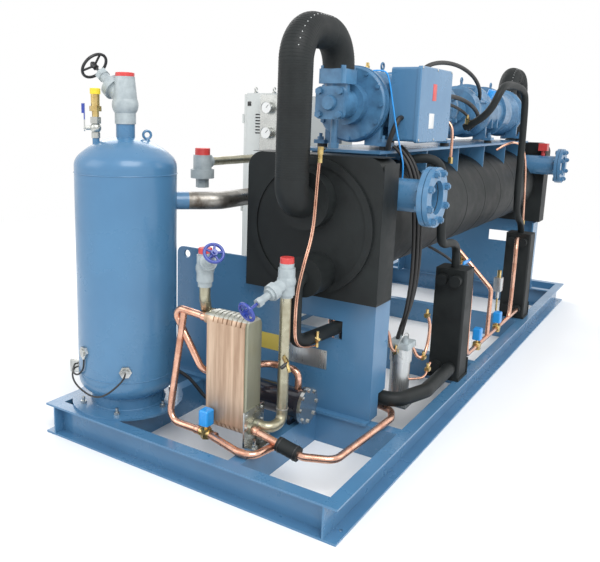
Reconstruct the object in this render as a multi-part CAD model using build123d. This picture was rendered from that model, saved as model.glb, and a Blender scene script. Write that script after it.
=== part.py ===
from build123d import *
import os
from math import atan2, cos, degrees, pi, radians, sin, sqrt, tan

# Skid-mounted refrigeration condensing unit without its condenser: two semi-hermetic screw
# compressors on an insulated shell evaporator, with an oil separator, a brazed-plate oil cooler,
# two economizers and a control cabinet on a channel-steel base.
#
# While the pieces are made, x runs along the base from its near end, y across it from its right
# side and z up from the floor. They are moved to the base's bottom centre when they are written.

# ---------------------------------------------------------------- driving dimensions, mm
frame_length = 4650.0
frame_width = 1680.0
channel_height = 160.0
channel_width = 65.0
channel_web = 8.5
channel_lip = 10.0
anchor_hole_d = 18.0
anchor_inset = 100.0
mid_beam_inset = 1180.0
bearer_length_to = 745.0

# support plates of the evaporator
near_plate_x = 768.0
far_plate_inset = 352.0
plate_thickness = 14.0
plate_right_y = 220.0
plate_left_y = 1450.0
plate_top_z = 905.0
plate_return = 160.0
plate_foot = 40.0
plate_corner = 40.0
lift_hole_d = 44.0
lift_hole_inset = 70.0
lift_hole_drop = 39.0
window_y = (392.0, 640.0)
window_z = (560.0, 655.0)
pipe_notch_z = 290.0

# evaporator
evaporator_y = 560.0
evaporator_z = 1111.0
shell_radius = 254.0
shell_wall = 8.0
foam_radius = 298.0
box_overhang = 68.0
box_depth = 178.0
box_half_width = 368.0
box_bottom_z = 778.0
box_top_z = 1467.0
box_corner = 80.0
cover_radius = 335.0
cover_rim = 35.0
cover_thickness = 16.0
suction_z = 1253.0
suction_stub_radius = 140.0
suction_stub_length = 85.0
liquid_stub_y = 505.0
liquid_stub_z = 905.0
liquid_stub_radius = 98.0
liquid_stub_length = 155.0
tube_radius = 14.0
tube_wall = 2.0
tube_pitch = 78.0

# water nozzles, DN150
nozzle_inset = 84.0
nozzle_z = 1285.0
nozzle_radius = 79.5
nozzle_wall = 5.0
nozzle_face_y = 28.0
flange_radius = 142.5
flange_thickness = 24.0
flange_pcd = 240.0
flange_hole_d = 22.0
flange_bolts = 8
flange_bolt_d = 20.0
gasket_thickness = 3.0
gasket_radius = 108.0

# compressors
compressor_z = 1711.0
compressor_inset = 368.0
motor_cover_radius = 190.0
motor_cover_thickness = 30.0
motor_radius = 176.0
motor_length = 540.0
joint_ring_radius = 194.0
joint_ring = 26.0
rotor_casing_length = 430.0
rotor_casing_radius = 138.0
rotor_casing_spread = 38.0
bearing_radius = 160.0
bearing_length = 240.0
suction_offset = 147.0
suction_body_radius = 74.0
strainer_cover_side = 156.0
strainer_cover_thickness = 24.0
suction_flange_side = 146.0
suction_flange_thickness = 35.0
suction_flange_top_z = 1873.0
flange_bolt_spread = 52.0
foot_spread = 180.0
foot_length = 80.0
foot_width = 62.0
foot_thickness = 20.0
isolator_height = 20.0
isolator_radius = 27.0
base_plate_thickness = 14.0
base_plate_z = 1470.0
base_plate_half_width = 228.0
base_plate_start = 960.0
skirt_thickness = 10.0
skirt_depth = 100.0

# insulated suction pipes
suction_pipe_radius = 78.0
suction_top_z = 2031.0
suction_bend = 150.0
suction_elbow = 85.0

# terminal boxes
terminal_length = 462.0
terminal_depth = 158.0
terminal_lid = 20.0
terminal_height = 365.0
terminal_z = 1532.0
terminal_inset = 60.0
terminal_gap = 17.0

# oil separator
tank_x = 300.0
tank_y = 1388.0
tank_radius = 250.0
tank_wall = 8.0
tank_bottom_seam_z = 340.0
tank_top_seam_z = 1348.0
head_straight = 30.0
head_crown = 330.0
head_knuckle = 75.0
skirt_radius = 186.0
skirt_wall = 8.0
ring_radius = 286.0
ring_thickness = 12.0
tank_neck_radius = 46.0
tank_neck_top_z = 1583.0

# valves, fits and gaps
stem_clearance = 0.06
seat_gap = 0.3
soft_gap = 0.4

# ---------------------------------------------------------------- derived places
near_box_face = near_plate_x - box_overhang
near_box_back = near_box_face + box_depth
far_box_face = frame_length - far_plate_inset + box_overhang
far_box_back = far_box_face - box_depth
mid_x = (near_box_face + far_box_face) / 2
cover_face_x = near_box_face - cover_thickness
compressor_x = near_box_face + compressor_inset
suction_x = compressor_x - suction_offset
motor_start_x = compressor_x + motor_cover_thickness
motor_end_x = motor_start_x + motor_length
rotor_end_x = motor_end_x + rotor_casing_length
bearing_end_x = rotor_end_x + bearing_length
base_plate_top_z = base_plate_z + base_plate_thickness
foot_z = base_plate_top_z + isolator_height

nodes = {}


# ---------------------------------------------------------------- helpers
def keep(name, *shapes):
    """Store the solids of one node."""
    solids = []
    for shape in shapes:
        solids += shape.solids()
    nodes[name] = solids[0] if len(solids) == 1 else Compound(children=solids)


def block(x, y, z):
    """Box between three pairs of limits."""
    size = (x[1] - x[0], y[1] - y[0], z[1] - z[0])
    return Pos(x[0], y[0], z[0]) * Box(*size, align=Align.MIN)


def bar(start, end, radius):
    """Round bar between two points."""
    start, end = Vector(start), Vector(end)
    axis = end - start
    base = Plane(origin=start, z_dir=axis)
    return base * Cylinder(radius, axis.length, align=(Align.CENTER, Align.CENTER, Align.MIN))


def ring(start, end, outer, inner):
    """Round tube between two points."""
    run = (Vector(end) - Vector(start)).normalized()
    hole = bar(Vector(start) - run, Vector(end) + run, inner)
    return bar(start, end, outer) - hole


def pipe(points, radius, bends, bore=0.0):
    """Pipe of straight runs and tangent bends; bends holds one radius for each corner."""
    if len(points) == 2:
        path = Line(*points)
    else:
        path = FilletPolyline(*points, radius=bends)
    section = Circle(radius) - Circle(bore) if bore else Circle(radius)
    return sweep(Plane(origin=path @ 0, z_dir=path % 0) * section, path=path)


def hexagon_bar(start, end, across):
    """Hexagon bar between two points; across is its width across the flats."""
    start, end = Vector(start), Vector(end)
    base = Plane(origin=start, z_dir=end - start)
    return base * extrude(RegularPolygon(across / 2, 6, major_radius=False), amount=(end - start).length)


def far_turned(shape):
    """Copy of a near piece turned half a turn about the evaporator's middle."""
    middle = Axis((mid_x, evaporator_y, 0), (0, 0, 1))
    return shape.rotate(middle, 180)


def far_mirrored(shape):
    """Copy of a near piece mirrored to the far end of the evaporator."""
    return mirror(shape, about=Plane(origin=(mid_x, 0, 0), z_dir=(1, 0, 0)))


# ---------------------------------------------------------------- base frame
def channel(origin, inward, run, length):
    """Channel standing on its lips' edges; inward points from the open side to the web."""
    outline = Rectangle(channel_width, channel_height, align=Align.MIN)
    hollow = Rectangle(channel_width - channel_web, channel_height - 2 * channel_lip, align=Align.MIN)
    section = outline - Pos(0, channel_lip) * hollow
    return extrude(Plane(origin=origin, x_dir=inward, z_dir=run) * section, amount=length)


def side_rails():
    """Two full-length rails, open outwards, with anchor holes in their lower lips."""
    right = channel((0, 0, 0), (0, 1, 0), (1, 0, 0), frame_length)
    left = channel((frame_length, frame_width, 0), (0, -1, 0), (-1, 0, 0), frame_length)
    lip_y = (channel_width - channel_web) / 2
    for x in (anchor_inset, frame_length - anchor_inset):
        right -= bar((x, lip_y, -1), (x, lip_y, channel_lip + 1), anchor_hole_d / 2)
        left -= bar((x, frame_width - lip_y, -1), (x, frame_width - lip_y, channel_lip + 1), anchor_hole_d / 2)
    return right, left


def cross_members():
    """End rails between the side rails' webs, and cross beams under what they carry."""
    span = frame_width - 2 * channel_width
    near = channel((0, frame_width - channel_width, 0), (1, 0, 0), (0, -1, 0), span)
    far = channel((frame_length, channel_width, 0), (-1, 0, 0), (0, 1, 0), span)
    beams = []
    for x in (bearer_length_to, mid_x - mid_beam_inset / 2, mid_x + mid_beam_inset / 2):
        beams.append(channel((x + channel_width, channel_width, 0), (-1, 0, 0), (0, 1, 0), span))
    far_x = far_box_face + near_box_face - bearer_length_to - channel_width
    beams.append(channel((far_x, channel_width, 0), (1, 0, 0), (0, -1, 0), -span))
    return (near, far), beams


(right_rail, left_rail) = side_rails()
end_rails, cross_beams = cross_members()
keep("side_rails", right_rail, left_rail)
keep("end_rails", *end_rails)
keep("cross_beams", *cross_beams)

bearer_y = (505.0, 1240.0)
bearers = []
for y in bearer_y:
    run_length = bearer_length_to - channel_width
    bearers.append(channel((bearer_length_to, y + channel_width, 0), (0, -1, 0), (-1, 0, 0), run_length))
keep("bearer_beams", *bearers)


# ---------------------------------------------------------------- evaporator supports
def support_plate(place):
    """Upright plate with folded sides, a foot strip, a lifting hole and a pipe window.

    place turns a distance from the near end into the plate's own x, so one function makes both.
    """
    front, back = near_plate_x, near_plate_x + plate_thickness

    def slab(start, end, y, z):
        return block(sorted((place(start), place(end))), y, z)

    box_left = evaporator_y + box_half_width + 4
    tall = slab(front, back, (box_left, plate_left_y), (channel_height, plate_top_z))
    top_edges = tall.edges().filter_by(Axis.X).group_by(Axis.Z)[-1]
    plate = fillet(top_edges, plate_corner)
    plate += slab(front, back, (plate_right_y, box_left), (channel_height, box_bottom_z))
    hole_y, hole_z = plate_left_y - lift_hole_inset, plate_top_z - lift_hole_drop
    plate -= bar((place(front - 1), hole_y, hole_z), (place(back + 1), hole_y, hole_z), lift_hole_d / 2)
    plate -= slab(front - 1, back + 1, window_y, window_z)
    plate += slab(front - plate_foot, front, (plate_right_y, plate_left_y),
                  (channel_height, channel_height + plate_thickness))
    right_fold = slab(back, back + plate_return, (plate_right_y, plate_right_y + 12),
                      (channel_height + 12, box_bottom_z - 6))
    right_fold -= slab(back + 80, back + plate_return + 1, (plate_right_y - 1, plate_right_y + 13),
                       (channel_height, pipe_notch_z))
    left_fold = slab(back, back + plate_return, (plate_left_y - 12, plate_left_y),
                     (channel_height + 12, plate_top_z - 2 * plate_corner))
    return plate + right_fold + left_fold


keep("near_support_plate", support_plate(lambda x: x))
keep("far_support_plate", support_plate(lambda x: 2 * mid_x - x))


# ---------------------------------------------------------------- evaporator
def end_box():
    """Insulated end box with a raised round cover and its two pipe stubs."""
    centre_z = (box_bottom_z + box_top_z) / 2
    body = block((near_box_face, near_box_back),
                 (evaporator_y - box_half_width, evaporator_y + box_half_width),
                 (box_bottom_z, box_top_z))
    top_corners = body.edges().filter_by(Axis.X).group_by(Axis.Z)[-1]
    body = fillet(top_corners, box_corner)
    face = (near_box_face, evaporator_y, centre_z)
    rim_front = (cover_face_x, evaporator_y, centre_z)
    disc_front = (near_box_face - cover_thickness / 2, evaporator_y, centre_z)
    body += ring(rim_front, face, cover_radius, cover_radius - cover_rim)
    body += bar(disc_front, face, cover_radius - cover_rim / 2)
    body += bar((near_box_face - suction_stub_length, evaporator_y, suction_z),
                (near_box_face, evaporator_y, suction_z), suction_stub_radius)
    body += bar((near_box_face - liquid_stub_length, liquid_stub_y, liquid_stub_z),
                (near_box_face, liquid_stub_y, liquid_stub_z), liquid_stub_radius)
    return body


near_box = end_box()
keep("near_end_box", near_box)
keep("far_end_box", far_mirrored(near_box))

shell_start = (near_box_back, evaporator_y, evaporator_z)
shell_end = (far_box_back, evaporator_y, evaporator_z)
vessel = ring(shell_start, shell_end, shell_radius, shell_radius - shell_wall)
foam = ring(shell_start, shell_end, foam_radius, shell_radius + soft_gap)

nozzle_x = (near_box_back + nozzle_inset, far_box_back - nozzle_inset)


def water_nozzle(x):
    """Pipe from the shell with a welded flange, its companion flange and gasket."""
    outer_y = nozzle_face_y + flange_thickness
    weld_y = outer_y + gasket_thickness
    back_y = weld_y + flange_thickness
    inside = bar((near_box_back, evaporator_y, evaporator_z), (far_box_back, evaporator_y, evaporator_z),
                 shell_radius - shell_wall)
    bore = nozzle_radius - nozzle_wall
    tube = ring((x, weld_y, nozzle_z), (x, evaporator_y, nozzle_z), nozzle_radius, bore) - inside
    tube = tube.solids().sort_by(Axis.Y)[0]
    weld_flange = ring((x, weld_y, nozzle_z), (x, back_y, nozzle_z), flange_radius, bore)
    companion = ring((x, nozzle_face_y, nozzle_z), (x, outer_y, nozzle_z), flange_radius, nozzle_radius + 1)
    gasket = ring((x, outer_y, nozzle_z), (x, weld_y, nozzle_z), gasket_radius, nozzle_radius - 2)
    bolts = []
    for index in range(flange_bolts):
        angle = 2 * pi * (index + 0.5) / flange_bolts
        bolt_x = x + flange_pcd / 2 * cos(angle)
        bolt_z = nozzle_z + flange_pcd / 2 * sin(angle)
        drill = bar((bolt_x, nozzle_face_y - 1, bolt_z), (bolt_x, back_y + 1, bolt_z), flange_hole_d / 2)
        weld_flange -= drill
        companion -= drill
        shank = bar((bolt_x, nozzle_face_y - 22, bolt_z), (bolt_x, back_y, bolt_z), flange_bolt_d / 2)
        head = hexagon_bar((bolt_x, back_y, bolt_z), (bolt_x, back_y + 13, bolt_z), 30)
        nut = hexagon_bar((bolt_x, nozzle_face_y - 16, bolt_z), (bolt_x, nozzle_face_y, bolt_z), 30)
        bolts.append(shank + head + nut)
    return tube + weld_flange, companion, gasket, bolts


companions, gaskets, stud_bolts = [], [], []
for end, x in zip(("near", "far"), nozzle_x):
    nozzle, companion, gasket, bolts = water_nozzle(x)
    keep(f"{end}_water_nozzle", nozzle)
    companions.append(companion)
    gaskets.append(gasket)
    stud_bolts += bolts
    drill = bar((x, 0, nozzle_z), (x, evaporator_y, nozzle_z), nozzle_radius)
    vessel -= drill
    foam -= bar((x, 0, nozzle_z), (x, evaporator_y, nozzle_z), nozzle_radius + soft_gap)
keep("companion_flanges", *companions)
keep("flange_gaskets", *gaskets)
keep("flange_bolts", *stud_bolts)

far_compressor_gap = 2 * (mid_x - bearing_end_x)
keep("evaporator_shell", vessel)
keep("evaporator_insulation", foam)


def tube_positions():
    """Centres of the water-side tubes, on a triangular grid inside the shell."""
    reach = shell_radius - shell_wall - tube_pitch / 2
    rows = int(reach / (tube_pitch * sqrt(3) / 2))
    for row in range(-rows, rows + 1):
        z = row * tube_pitch * sqrt(3) / 2
        shift = tube_pitch / 2 if row % 2 else 0.0
        for column in range(-4, 5):
            y = column * tube_pitch + shift
            if y * y + z * z < reach * reach:
                yield evaporator_y + y, evaporator_z + z


tubes = []
for y, z in tube_positions():
    tubes.append(bar((near_box_back, y, z), (far_box_back, y, z), tube_radius))
keep("tube_bundle", *tubes)


# ---------------------------------------------------------------- compressors
def on_axis(start, end, radius):
    """Disc or cylinder on the near compressor's axis."""
    return bar((start, evaporator_y, compressor_z), (end, evaporator_y, compressor_z), radius)


def circle_points(count, radius, turn=0.0):
    """Points of a bolt circle about the compressor's axis, as pairs of y and z."""
    for index in range(count):
        angle = 2 * pi * index / count + turn
        yield evaporator_y + radius * cos(angle), compressor_z + radius * sin(angle)


def suction_housing():
    """Strainer housing ahead of the motor, with its neck, drain leg and square flange."""
    front = suction_x - strainer_cover_side / 2
    cover = block((front, front + strainer_cover_thickness),
                  (evaporator_y - strainer_cover_side / 2, evaporator_y + strainer_cover_side / 2),
                  (compressor_z - strainer_cover_side / 2, compressor_z + strainer_cover_side / 2))
    cover = fillet(cover.edges().filter_by(Axis.X), 26)
    body = on_axis(front + strainer_cover_thickness, compressor_x, suction_body_radius)
    dome = Pos(front, evaporator_y, compressor_z) * Sphere(38)
    dome &= on_axis(front - 20, front + 1, 40)
    collar = on_axis(compressor_x - 60, compressor_x, suction_body_radius + 30)
    flange_z = suction_flange_top_z - 2 * suction_flange_thickness
    neck = bar((suction_x, evaporator_y, compressor_z), (suction_x, evaporator_y, flange_z), 62)
    flange = square_flange(flange_z, flange_z + suction_flange_thickness)
    leg = bar((suction_x - 16, evaporator_y, box_top_z + 24), (suction_x - 16, evaporator_y, compressor_z), 17)
    plug = hexagon_bar((suction_x - 16, evaporator_y, box_top_z + 24),
                       (suction_x - 16, evaporator_y, box_top_z + 50), 46)
    return cover + body + dome + collar + neck + flange + leg + plug


def square_flange(bottom, top):
    """Square flange with rounded corners on the suction line."""
    half = suction_flange_side / 2
    plate = block((suction_x - half, suction_x + half), (evaporator_y - half, evaporator_y + half),
                  (bottom, top))
    return fillet(plate.edges().filter_by(Axis.Z), 18)


def motor_cover():
    """Round cover of the motor end, with a chamfered rim and a ring of bosses."""
    cover = on_axis(compressor_x, motor_start_x, motor_cover_radius)
    rim = cover.edges().filter_by(GeomType.CIRCLE).group_by(Axis.X)[0]
    cover = chamfer(rim, 9)
    return cover


def casing_profile():
    """Half section of the turned castings: motor barrel, joint rings and bearing end."""
    steps = (
        (motor_start_x, joint_ring_radius), (motor_start_x + joint_ring, joint_ring_radius),
        (motor_start_x + joint_ring + 16, motor_radius), (motor_end_x - joint_ring - 16, motor_radius),
        (motor_end_x - joint_ring, joint_ring_radius), (motor_end_x, joint_ring_radius))
    points = [(steps[0][0], 0)] + list(steps) + [(steps[-1][0], 0)]
    return points


def turned(points):
    """Solid turned about the compressor's axis from pairs of x and radius."""
    face = make_face(Polyline(*[(x, radius) for x, radius in points], close=True))
    solid = revolve(face, Axis.X)
    return Pos(0, evaporator_y, compressor_z) * solid


def rotor_casing():
    """Twin-bore rotor housing with joint flanges, side ribs and a top boss."""
    start, end = motor_end_x, rotor_end_x
    bores = [Pos(0, side * rotor_casing_spread) * Circle(rotor_casing_radius) for side in (-1, 1)]
    waist = Rectangle(2 * rotor_casing_spread, 2 * rotor_casing_radius - 30)
    section = bores[0] + bores[1] + Rectangle(2 * rotor_casing_radius - 30, 2 * rotor_casing_spread)
    plane = Plane(origin=(start, evaporator_y, compressor_z), x_dir=(0, 0, 1), z_dir=(1, 0, 0))
    body = extrude(plane * section, amount=end - start)
    flange = on_axis(start, start + joint_ring, joint_ring_radius)
    far_flange = on_axis(end - joint_ring, end, joint_ring_radius)
    ribs = []
    for side in (-1, 1):
        y = evaporator_y + side * (rotor_casing_radius + rotor_casing_spread - 8)
        for step in (1, 2):
            x = start + step * (end - start) / 3
            ribs.append(block((x - 9, x + 9), sorted((y, y - side * 40)),
                              (compressor_z - 120, compressor_z + 60)))
    boss = bar((mid(start, end), evaporator_y, compressor_z), (mid(start, end), evaporator_y,
               compressor_z + rotor_casing_radius + 34), 46)
    casing = body + flange + far_flange + boss
    for rib in ribs:
        casing += rib
    return casing


def mid(start, end):
    """Middle of two values."""
    return (start + end) / 2


def bearing_housing():
    """Ribbed discharge and bearing housing with its domed end and discharge outlet."""
    start, end = rotor_end_x, bearing_end_x
    profile = (
        (start, 0), (start, joint_ring_radius), (start + joint_ring, joint_ring_radius),
        (start + joint_ring + 24, bearing_radius), (end - 62, bearing_radius - 8),
        (end - 44, bearing_radius + 12), (end - 14, bearing_radius + 12), (end, bearing_radius - 10),
        (end, 0))
    body = turned(profile)
    for index in range(8):
        rib = block((start + joint_ring, end - 50), (evaporator_y - 7, evaporator_y + 7),
                    (compressor_z, compressor_z + bearing_radius + 16))
        body += rib.rotate(Axis((0, evaporator_y, compressor_z), (1, 0, 0)), 45 * index + 22.5)
    body += on_axis(end - 20, end + 24, discharge_radius + 22)
    body += on_axis(end + 24, end + 44, discharge_radius + 40)
    return body


def compressor_feet():
    """Four cast feet with webs, joined to the joint rings."""
    feet = []
    for x in foot_places:
        for side in (-1, 1):
            y = evaporator_y + side * foot_spread
            foot = block((x - foot_length / 2, x + foot_length / 2),
                         (y - foot_width / 2, y + foot_width / 2), (foot_z, foot_z + foot_thickness))
            inner = evaporator_y + side * (foot_spread - foot_width - 46)
            web = block((x - 14, x + 14), sorted((y - side * 21, inner)),
                        (foot_z + 1, compressor_z - 92))
            feet.append(foot + web)
    return feet


discharge_radius = 45.0
discharge_x = bearing_end_x + 44
foot_places = (motor_start_x + joint_ring / 2 + 14, rotor_end_x - joint_ring / 2 - 6)


def terminal_box():
    """Terminal box body on the motor's right side, with its neck and lid."""
    start = compressor_x + terminal_inset
    back = evaporator_y - motor_radius - terminal_gap
    front = back - terminal_depth + terminal_lid
    body = block((start, start + terminal_length), (front, back),
                 (terminal_z, terminal_z + terminal_height))
    body = fillet(body.edges().filter_by(Axis.Y), 14)
    lid = block((start - 5, start + terminal_length + 5), (front - terminal_lid, front),
                (terminal_z - 5, terminal_z + terminal_height + 5))
    lid = fillet(lid.edges().filter_by(Axis.Y), 17)
    lid = chamfer(lid.faces().sort_by(Axis.Y)[0].edges(), 5)
    neck_x = mid(start, start + terminal_length)
    neck = block((neck_x - 170, neck_x + 170), (back, evaporator_y - 60),
                 (compressor_z - 108, compressor_z + 108))
    return body, lid, neck


def saddle():
    """Base plate on the shell with side skirts and three cross webs cut to the foam."""
    left = mid_x * 2 - base_plate_start
    plate = block((base_plate_start, left), (evaporator_y - base_plate_half_width,
                  evaporator_y + base_plate_half_width), (base_plate_z, base_plate_top_z))
    outside = bar((near_box_back, evaporator_y, evaporator_z), (far_box_back, evaporator_y, evaporator_z),
                  foam_radius + seat_gap)
    webs = []
    for x in saddle_webs:
        web = block((x - skirt_thickness / 2, x + skirt_thickness / 2),
                    (evaporator_y - base_plate_half_width + 14, evaporator_y + base_plate_half_width - 14),
                    (evaporator_z + foam_radius - skirt_depth, base_plate_z))
        webs.append(web - outside)
    for web in webs:
        plate += web
    return plate


saddle_inset = 120.0
saddle_count = 6
saddle_webs = [base_plate_start + saddle_inset
               + step * 2 * (mid_x - base_plate_start - saddle_inset) / (saddle_count - 1)
               for step in range(saddle_count)]
base_plate = saddle()
keep("compressor_saddle", base_plate)

casing = turned(casing_profile()) + rotor_casing() + bearing_housing()
for foot in compressor_feet():
    casing += foot
box_body, box_lid, box_neck = terminal_box()
neck_only = box_neck - on_axis(motor_start_x, motor_end_x, motor_radius - 1)
casing += neck_only.solids().sort_by(Axis.Y)[0]
keep("near_compressor", casing)
keep("far_compressor", far_turned(casing))
cover = motor_cover()
keep("motor_covers", cover, far_turned(cover))
housing = suction_housing()
keep("suction_housings", housing, far_turned(housing))
upper_flange = square_flange(suction_flange_top_z - suction_flange_thickness, suction_flange_top_z)
keep("suction_flanges", upper_flange, far_turned(upper_flange))
keep("terminal_boxes", box_body, box_lid, far_turned(box_body), far_turned(box_lid))

isolators, bolts = [], []
for x in foot_places:
    for side in (-1, 1):
        y = evaporator_y + side * foot_spread
        isolators.append(bar((x, y, base_plate_top_z), (x, y, foot_z), isolator_radius))
        top = foot_z + foot_thickness
        bolts.append(hexagon_bar((x - 22, y, top), (x - 22, y, top + 16), 30)
                     + bar((x - 22, y, top), (x - 22, y, top + 34), 9))
for y, z in circle_points(12, motor_cover_radius - 16):
    bolts.append(hexagon_bar((compressor_x - 12, y, z), (compressor_x, y, z), 20))
front = suction_x - strainer_cover_side / 2
for y_side in (-1, 1):
    for z_side in (-1, 1):
        y, z = evaporator_y + y_side * 56, compressor_z + z_side * 56
        bolts.append(hexagon_bar((front - 18, y, z), (front, y, z), 30))
        x, y = suction_x + z_side * flange_bolt_spread, evaporator_y + y_side * flange_bolt_spread
        bolts.append(hexagon_bar((x, y, suction_flange_top_z), (x, y, suction_flange_top_z + 16), 26))
keep("isolators", *isolators, *[far_turned(pad) for pad in isolators])
keep("compressor_bolts", *bolts, *[far_turned(bolt) for bolt in bolts])


# ---------------------------------------------------------------- suction and discharge lines
stub_face_x = near_box_face - suction_stub_length
back_x = stub_face_x - suction_elbow - 18
suction_line = pipe(
    [(stub_face_x, evaporator_y, suction_z), (back_x, evaporator_y, suction_z),
     (back_x, evaporator_y, suction_top_z), (suction_x, evaporator_y, suction_top_z),
     (suction_x, evaporator_y, suction_flange_top_z)],
    suction_pipe_radius, [suction_elbow, suction_bend, suction_bend])
suction_bolts = [bolt for bolt in bolts if bolt.center().Z > suction_flange_top_z]
for bolt in suction_bolts:
    suction_line -= bolt
keep("near_suction_pipe", suction_line)
keep("far_suction_pipe", far_mirrored(suction_line))

header_y = 1055.0
header_z = 1208.0
loop_y = 880.0
tank_nozzle_out = 60.0
nozzle_step = (tank_radius - 6) * cos(pi / 4)
elbow_step = (tank_radius + tank_nozzle_out) * cos(pi / 4)
turn_x = tank_x + (tank_y - header_y)
loop_x = discharge_x + 100.0
header = pipe(
    [(tank_x + elbow_step, tank_y - elbow_step, header_z), (turn_x, header_y, header_z),
     (mid_x, header_y, header_z), (mid_x, header_y, compressor_z), (mid_x, loop_y, compressor_z)],
    discharge_radius, [90.0, 110.0, 110.0])
cross = pipe(
    [(discharge_x, evaporator_y, compressor_z), (loop_x, evaporator_y, compressor_z),
     (loop_x, loop_y, compressor_z), (2 * mid_x - loop_x, loop_y, compressor_z),
     (2 * mid_x - loop_x, evaporator_y, compressor_z), (2 * mid_x - discharge_x, evaporator_y, compressor_z)],
    discharge_radius, [80.0, 70.0, 70.0, 80.0])
keep("discharge_header", header + cross)


# ---------------------------------------------------------------- oil separator
def separator():
    """Upright pressure vessel with elliptical heads, skirt, base ring and nozzles."""
    def outline(inset):
        radius, knuckle, crown = tank_radius - inset, head_knuckle - inset, head_crown - inset
        rise = sqrt((crown - knuckle) ** 2 - (radius - knuckle) ** 2)
        join = degrees(atan2(rise, radius - knuckle))
        low, high = tank_bottom_seam_z - head_straight, tank_top_seam_z + head_straight
        return make_face([
            CenterArc((0, low + rise), crown, -90, 90 - join),
            CenterArc((radius - knuckle, low), knuckle, -join, join),
            Line((radius, low), (radius, high)),
            CenterArc((radius - knuckle, high), knuckle, 0, join),
            CenterArc((0, high - rise), crown, join, 90 - join),
            Line((0, high - rise + crown), (0, low + rise - crown))])

    downward = Axis((0, 0, 0), (0, 0, -1))
    shell = revolve(Plane.XZ * outline(0), downward)
    inner = revolve(Plane.XZ * outline(tank_wall), downward)
    skirt = ring((0, 0, channel_height + ring_thickness), (0, 0, 262), skirt_radius, skirt_radius - skirt_wall)
    foot = ring((0, 0, channel_height), (0, 0, channel_height + ring_thickness), ring_radius,
                skirt_radius - 40)
    for index in range(6):
        angle = 2 * pi * (index + 0.5) / 6
        place = (236 * cos(angle), 236 * sin(angle))
        foot -= bar((*place, channel_height - 1), (*place, 200), 11)
    neck = bar((0, 0, 1480), (0, 0, tank_neck_top_z), tank_neck_radius)
    side = bar((nozzle_step, -nozzle_step, header_z), (elbow_step, -elbow_step, header_z), 45.0)
    relief = bar((relief_x - tank_x, relief_y - tank_y, 1440), (relief_x - tank_x, relief_y - tank_y, 1513), 17)
    eye = bar((74, -74, 1440), (74, -74, 1500), 9)
    body = shell + skirt + foot + neck + side + relief + eye - inner
    return Pos(tank_x, tank_y, 0) * body.solids().sort_by(SortBy.VOLUME)[-1]


relief_x, relief_y = 202.0, 1490.0
keep("separator_vessel", separator())


# ---------------------------------------------------------------- hand valves
def along(start, direction, distance):
    """Point at a distance from start along a direction."""
    return Vector(start) + Vector(direction).normalized() * distance


def bonnet(start, direction, size, length):
    """Valve bonnet with its flange and packing gland, bored for the stem."""
    body = bar(start, along(start, direction, 0.62 * length), 0.74 * size)
    flange = bar(along(start, direction, 0.38 * length), along(start, direction, 0.55 * length), size)
    gland = bar(along(start, direction, 0.6 * length), along(start, direction, 0.9 * length), 0.42 * size)
    nut = hexagon_bar(along(start, direction, 0.86 * length), along(start, direction, length), 0.95 * size)
    bore = bar(along(start, direction, 0.66 * length), along(start, direction, length + 1),
               stem_radius + stem_clearance)
    return body + flange + gland + nut - bore


def handwheel(start, direction, reach, radius, spokes, bonnet_length):
    """Round-rimmed handwheel with curved hub, spokes and the stem that it turns."""
    rim = Torus(radius - wheel_rim, wheel_rim)
    hub = bar((0, 0, -16), (0, 0, 14), 15)
    nut = hexagon_bar((0, 0, 14), (0, 0, 24), 15)
    stem = bar((0, 0, 0.7 * bonnet_length - reach), (0, 0, 0), stem_radius)
    wheel = hub + stem + nut
    for index in range(spokes):
        angle = 2 * pi * index / spokes
        spoke_tip = ((radius - wheel_rim) * cos(angle), (radius - wheel_rim) * sin(angle), 0)
        wheel += bar((0, 0, 0), spoke_tip, 0.75 * wheel_rim)
    wheel = Plane(origin=along(start, direction, reach), z_dir=Vector(direction)) * (wheel + rim)
    return wheel


stem_radius = 7.0
wheel_rim = 7.5

# stop valve on the separator
stop_start = (tank_x, tank_y, 1700.0)
stop_direction = (0, 0.79, 0.613)
stop_body = bar((tank_x, tank_y, tank_neck_top_z), (tank_x, tank_y, 1640), 51)
stop_body += Pos(tank_x, tank_y, 1674) * Sphere(64)
stop_body += Pos(tank_x, tank_y, 1700) * Cone(58, 47, 108, align=(Align.CENTER, Align.CENTER, Align.MIN))
stop_body += bonnet(stop_start, stop_direction, 60, 205)
stop_body -= bar((tank_x, tank_y, tank_neck_top_z - 200), (tank_x, tank_y, tank_neck_top_z), 80)
keep("stop_valve", stop_body)
keep("stop_valve_wheel", handwheel(stop_start, stop_direction, 262, 76, 3, 205))

# relief branch on the separator
relief_base = (relief_x, relief_y, 1513.0)
relief_ball_z = 1561.0
ball_body = bar(relief_base, (relief_x, relief_y, 1540), 21) + Pos(relief_x, relief_y, relief_ball_z) * Sphere(27)
ball_body += hexagon_bar((relief_x, relief_y, 1582), (relief_x, relief_y, 1613), 46)
lever_side = (-0.65, 0.76, 0)
lever_pivot = along((relief_x, relief_y, relief_ball_z), lever_side, 46)
ball_body += bar((relief_x, relief_y, relief_ball_z), lever_pivot, 11)
ball_body -= bar(along(lever_pivot, lever_side, -14), along(lever_pivot, lever_side, 1), 5 + stem_clearance)
safety = bar((relief_x, relief_y, 1613), (relief_x, relief_y, 1640), 17)
safety += hexagon_bar((relief_x, relief_y, 1640), (relief_x, relief_y, 1665), 52)
safety += bar((relief_x, relief_y, 1665), (relief_x, relief_y, 1721), 21)
safety += bar((relief_x, relief_y, 1655), along((relief_x, relief_y, 1655), (0, -1, 0), 0.1), 5)
keep("relief_valve", ball_body, safety)
lever_top = along(lever_pivot, lever_side, 6)
lever = bar(along(lever_pivot, lever_side, -13), along(lever_pivot, lever_side, 12), 5)
arm_plane = Plane(origin=along(lever_pivot, lever_side, 4), x_dir=(0, 0, 1), z_dir=Vector(lever_side))
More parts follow.
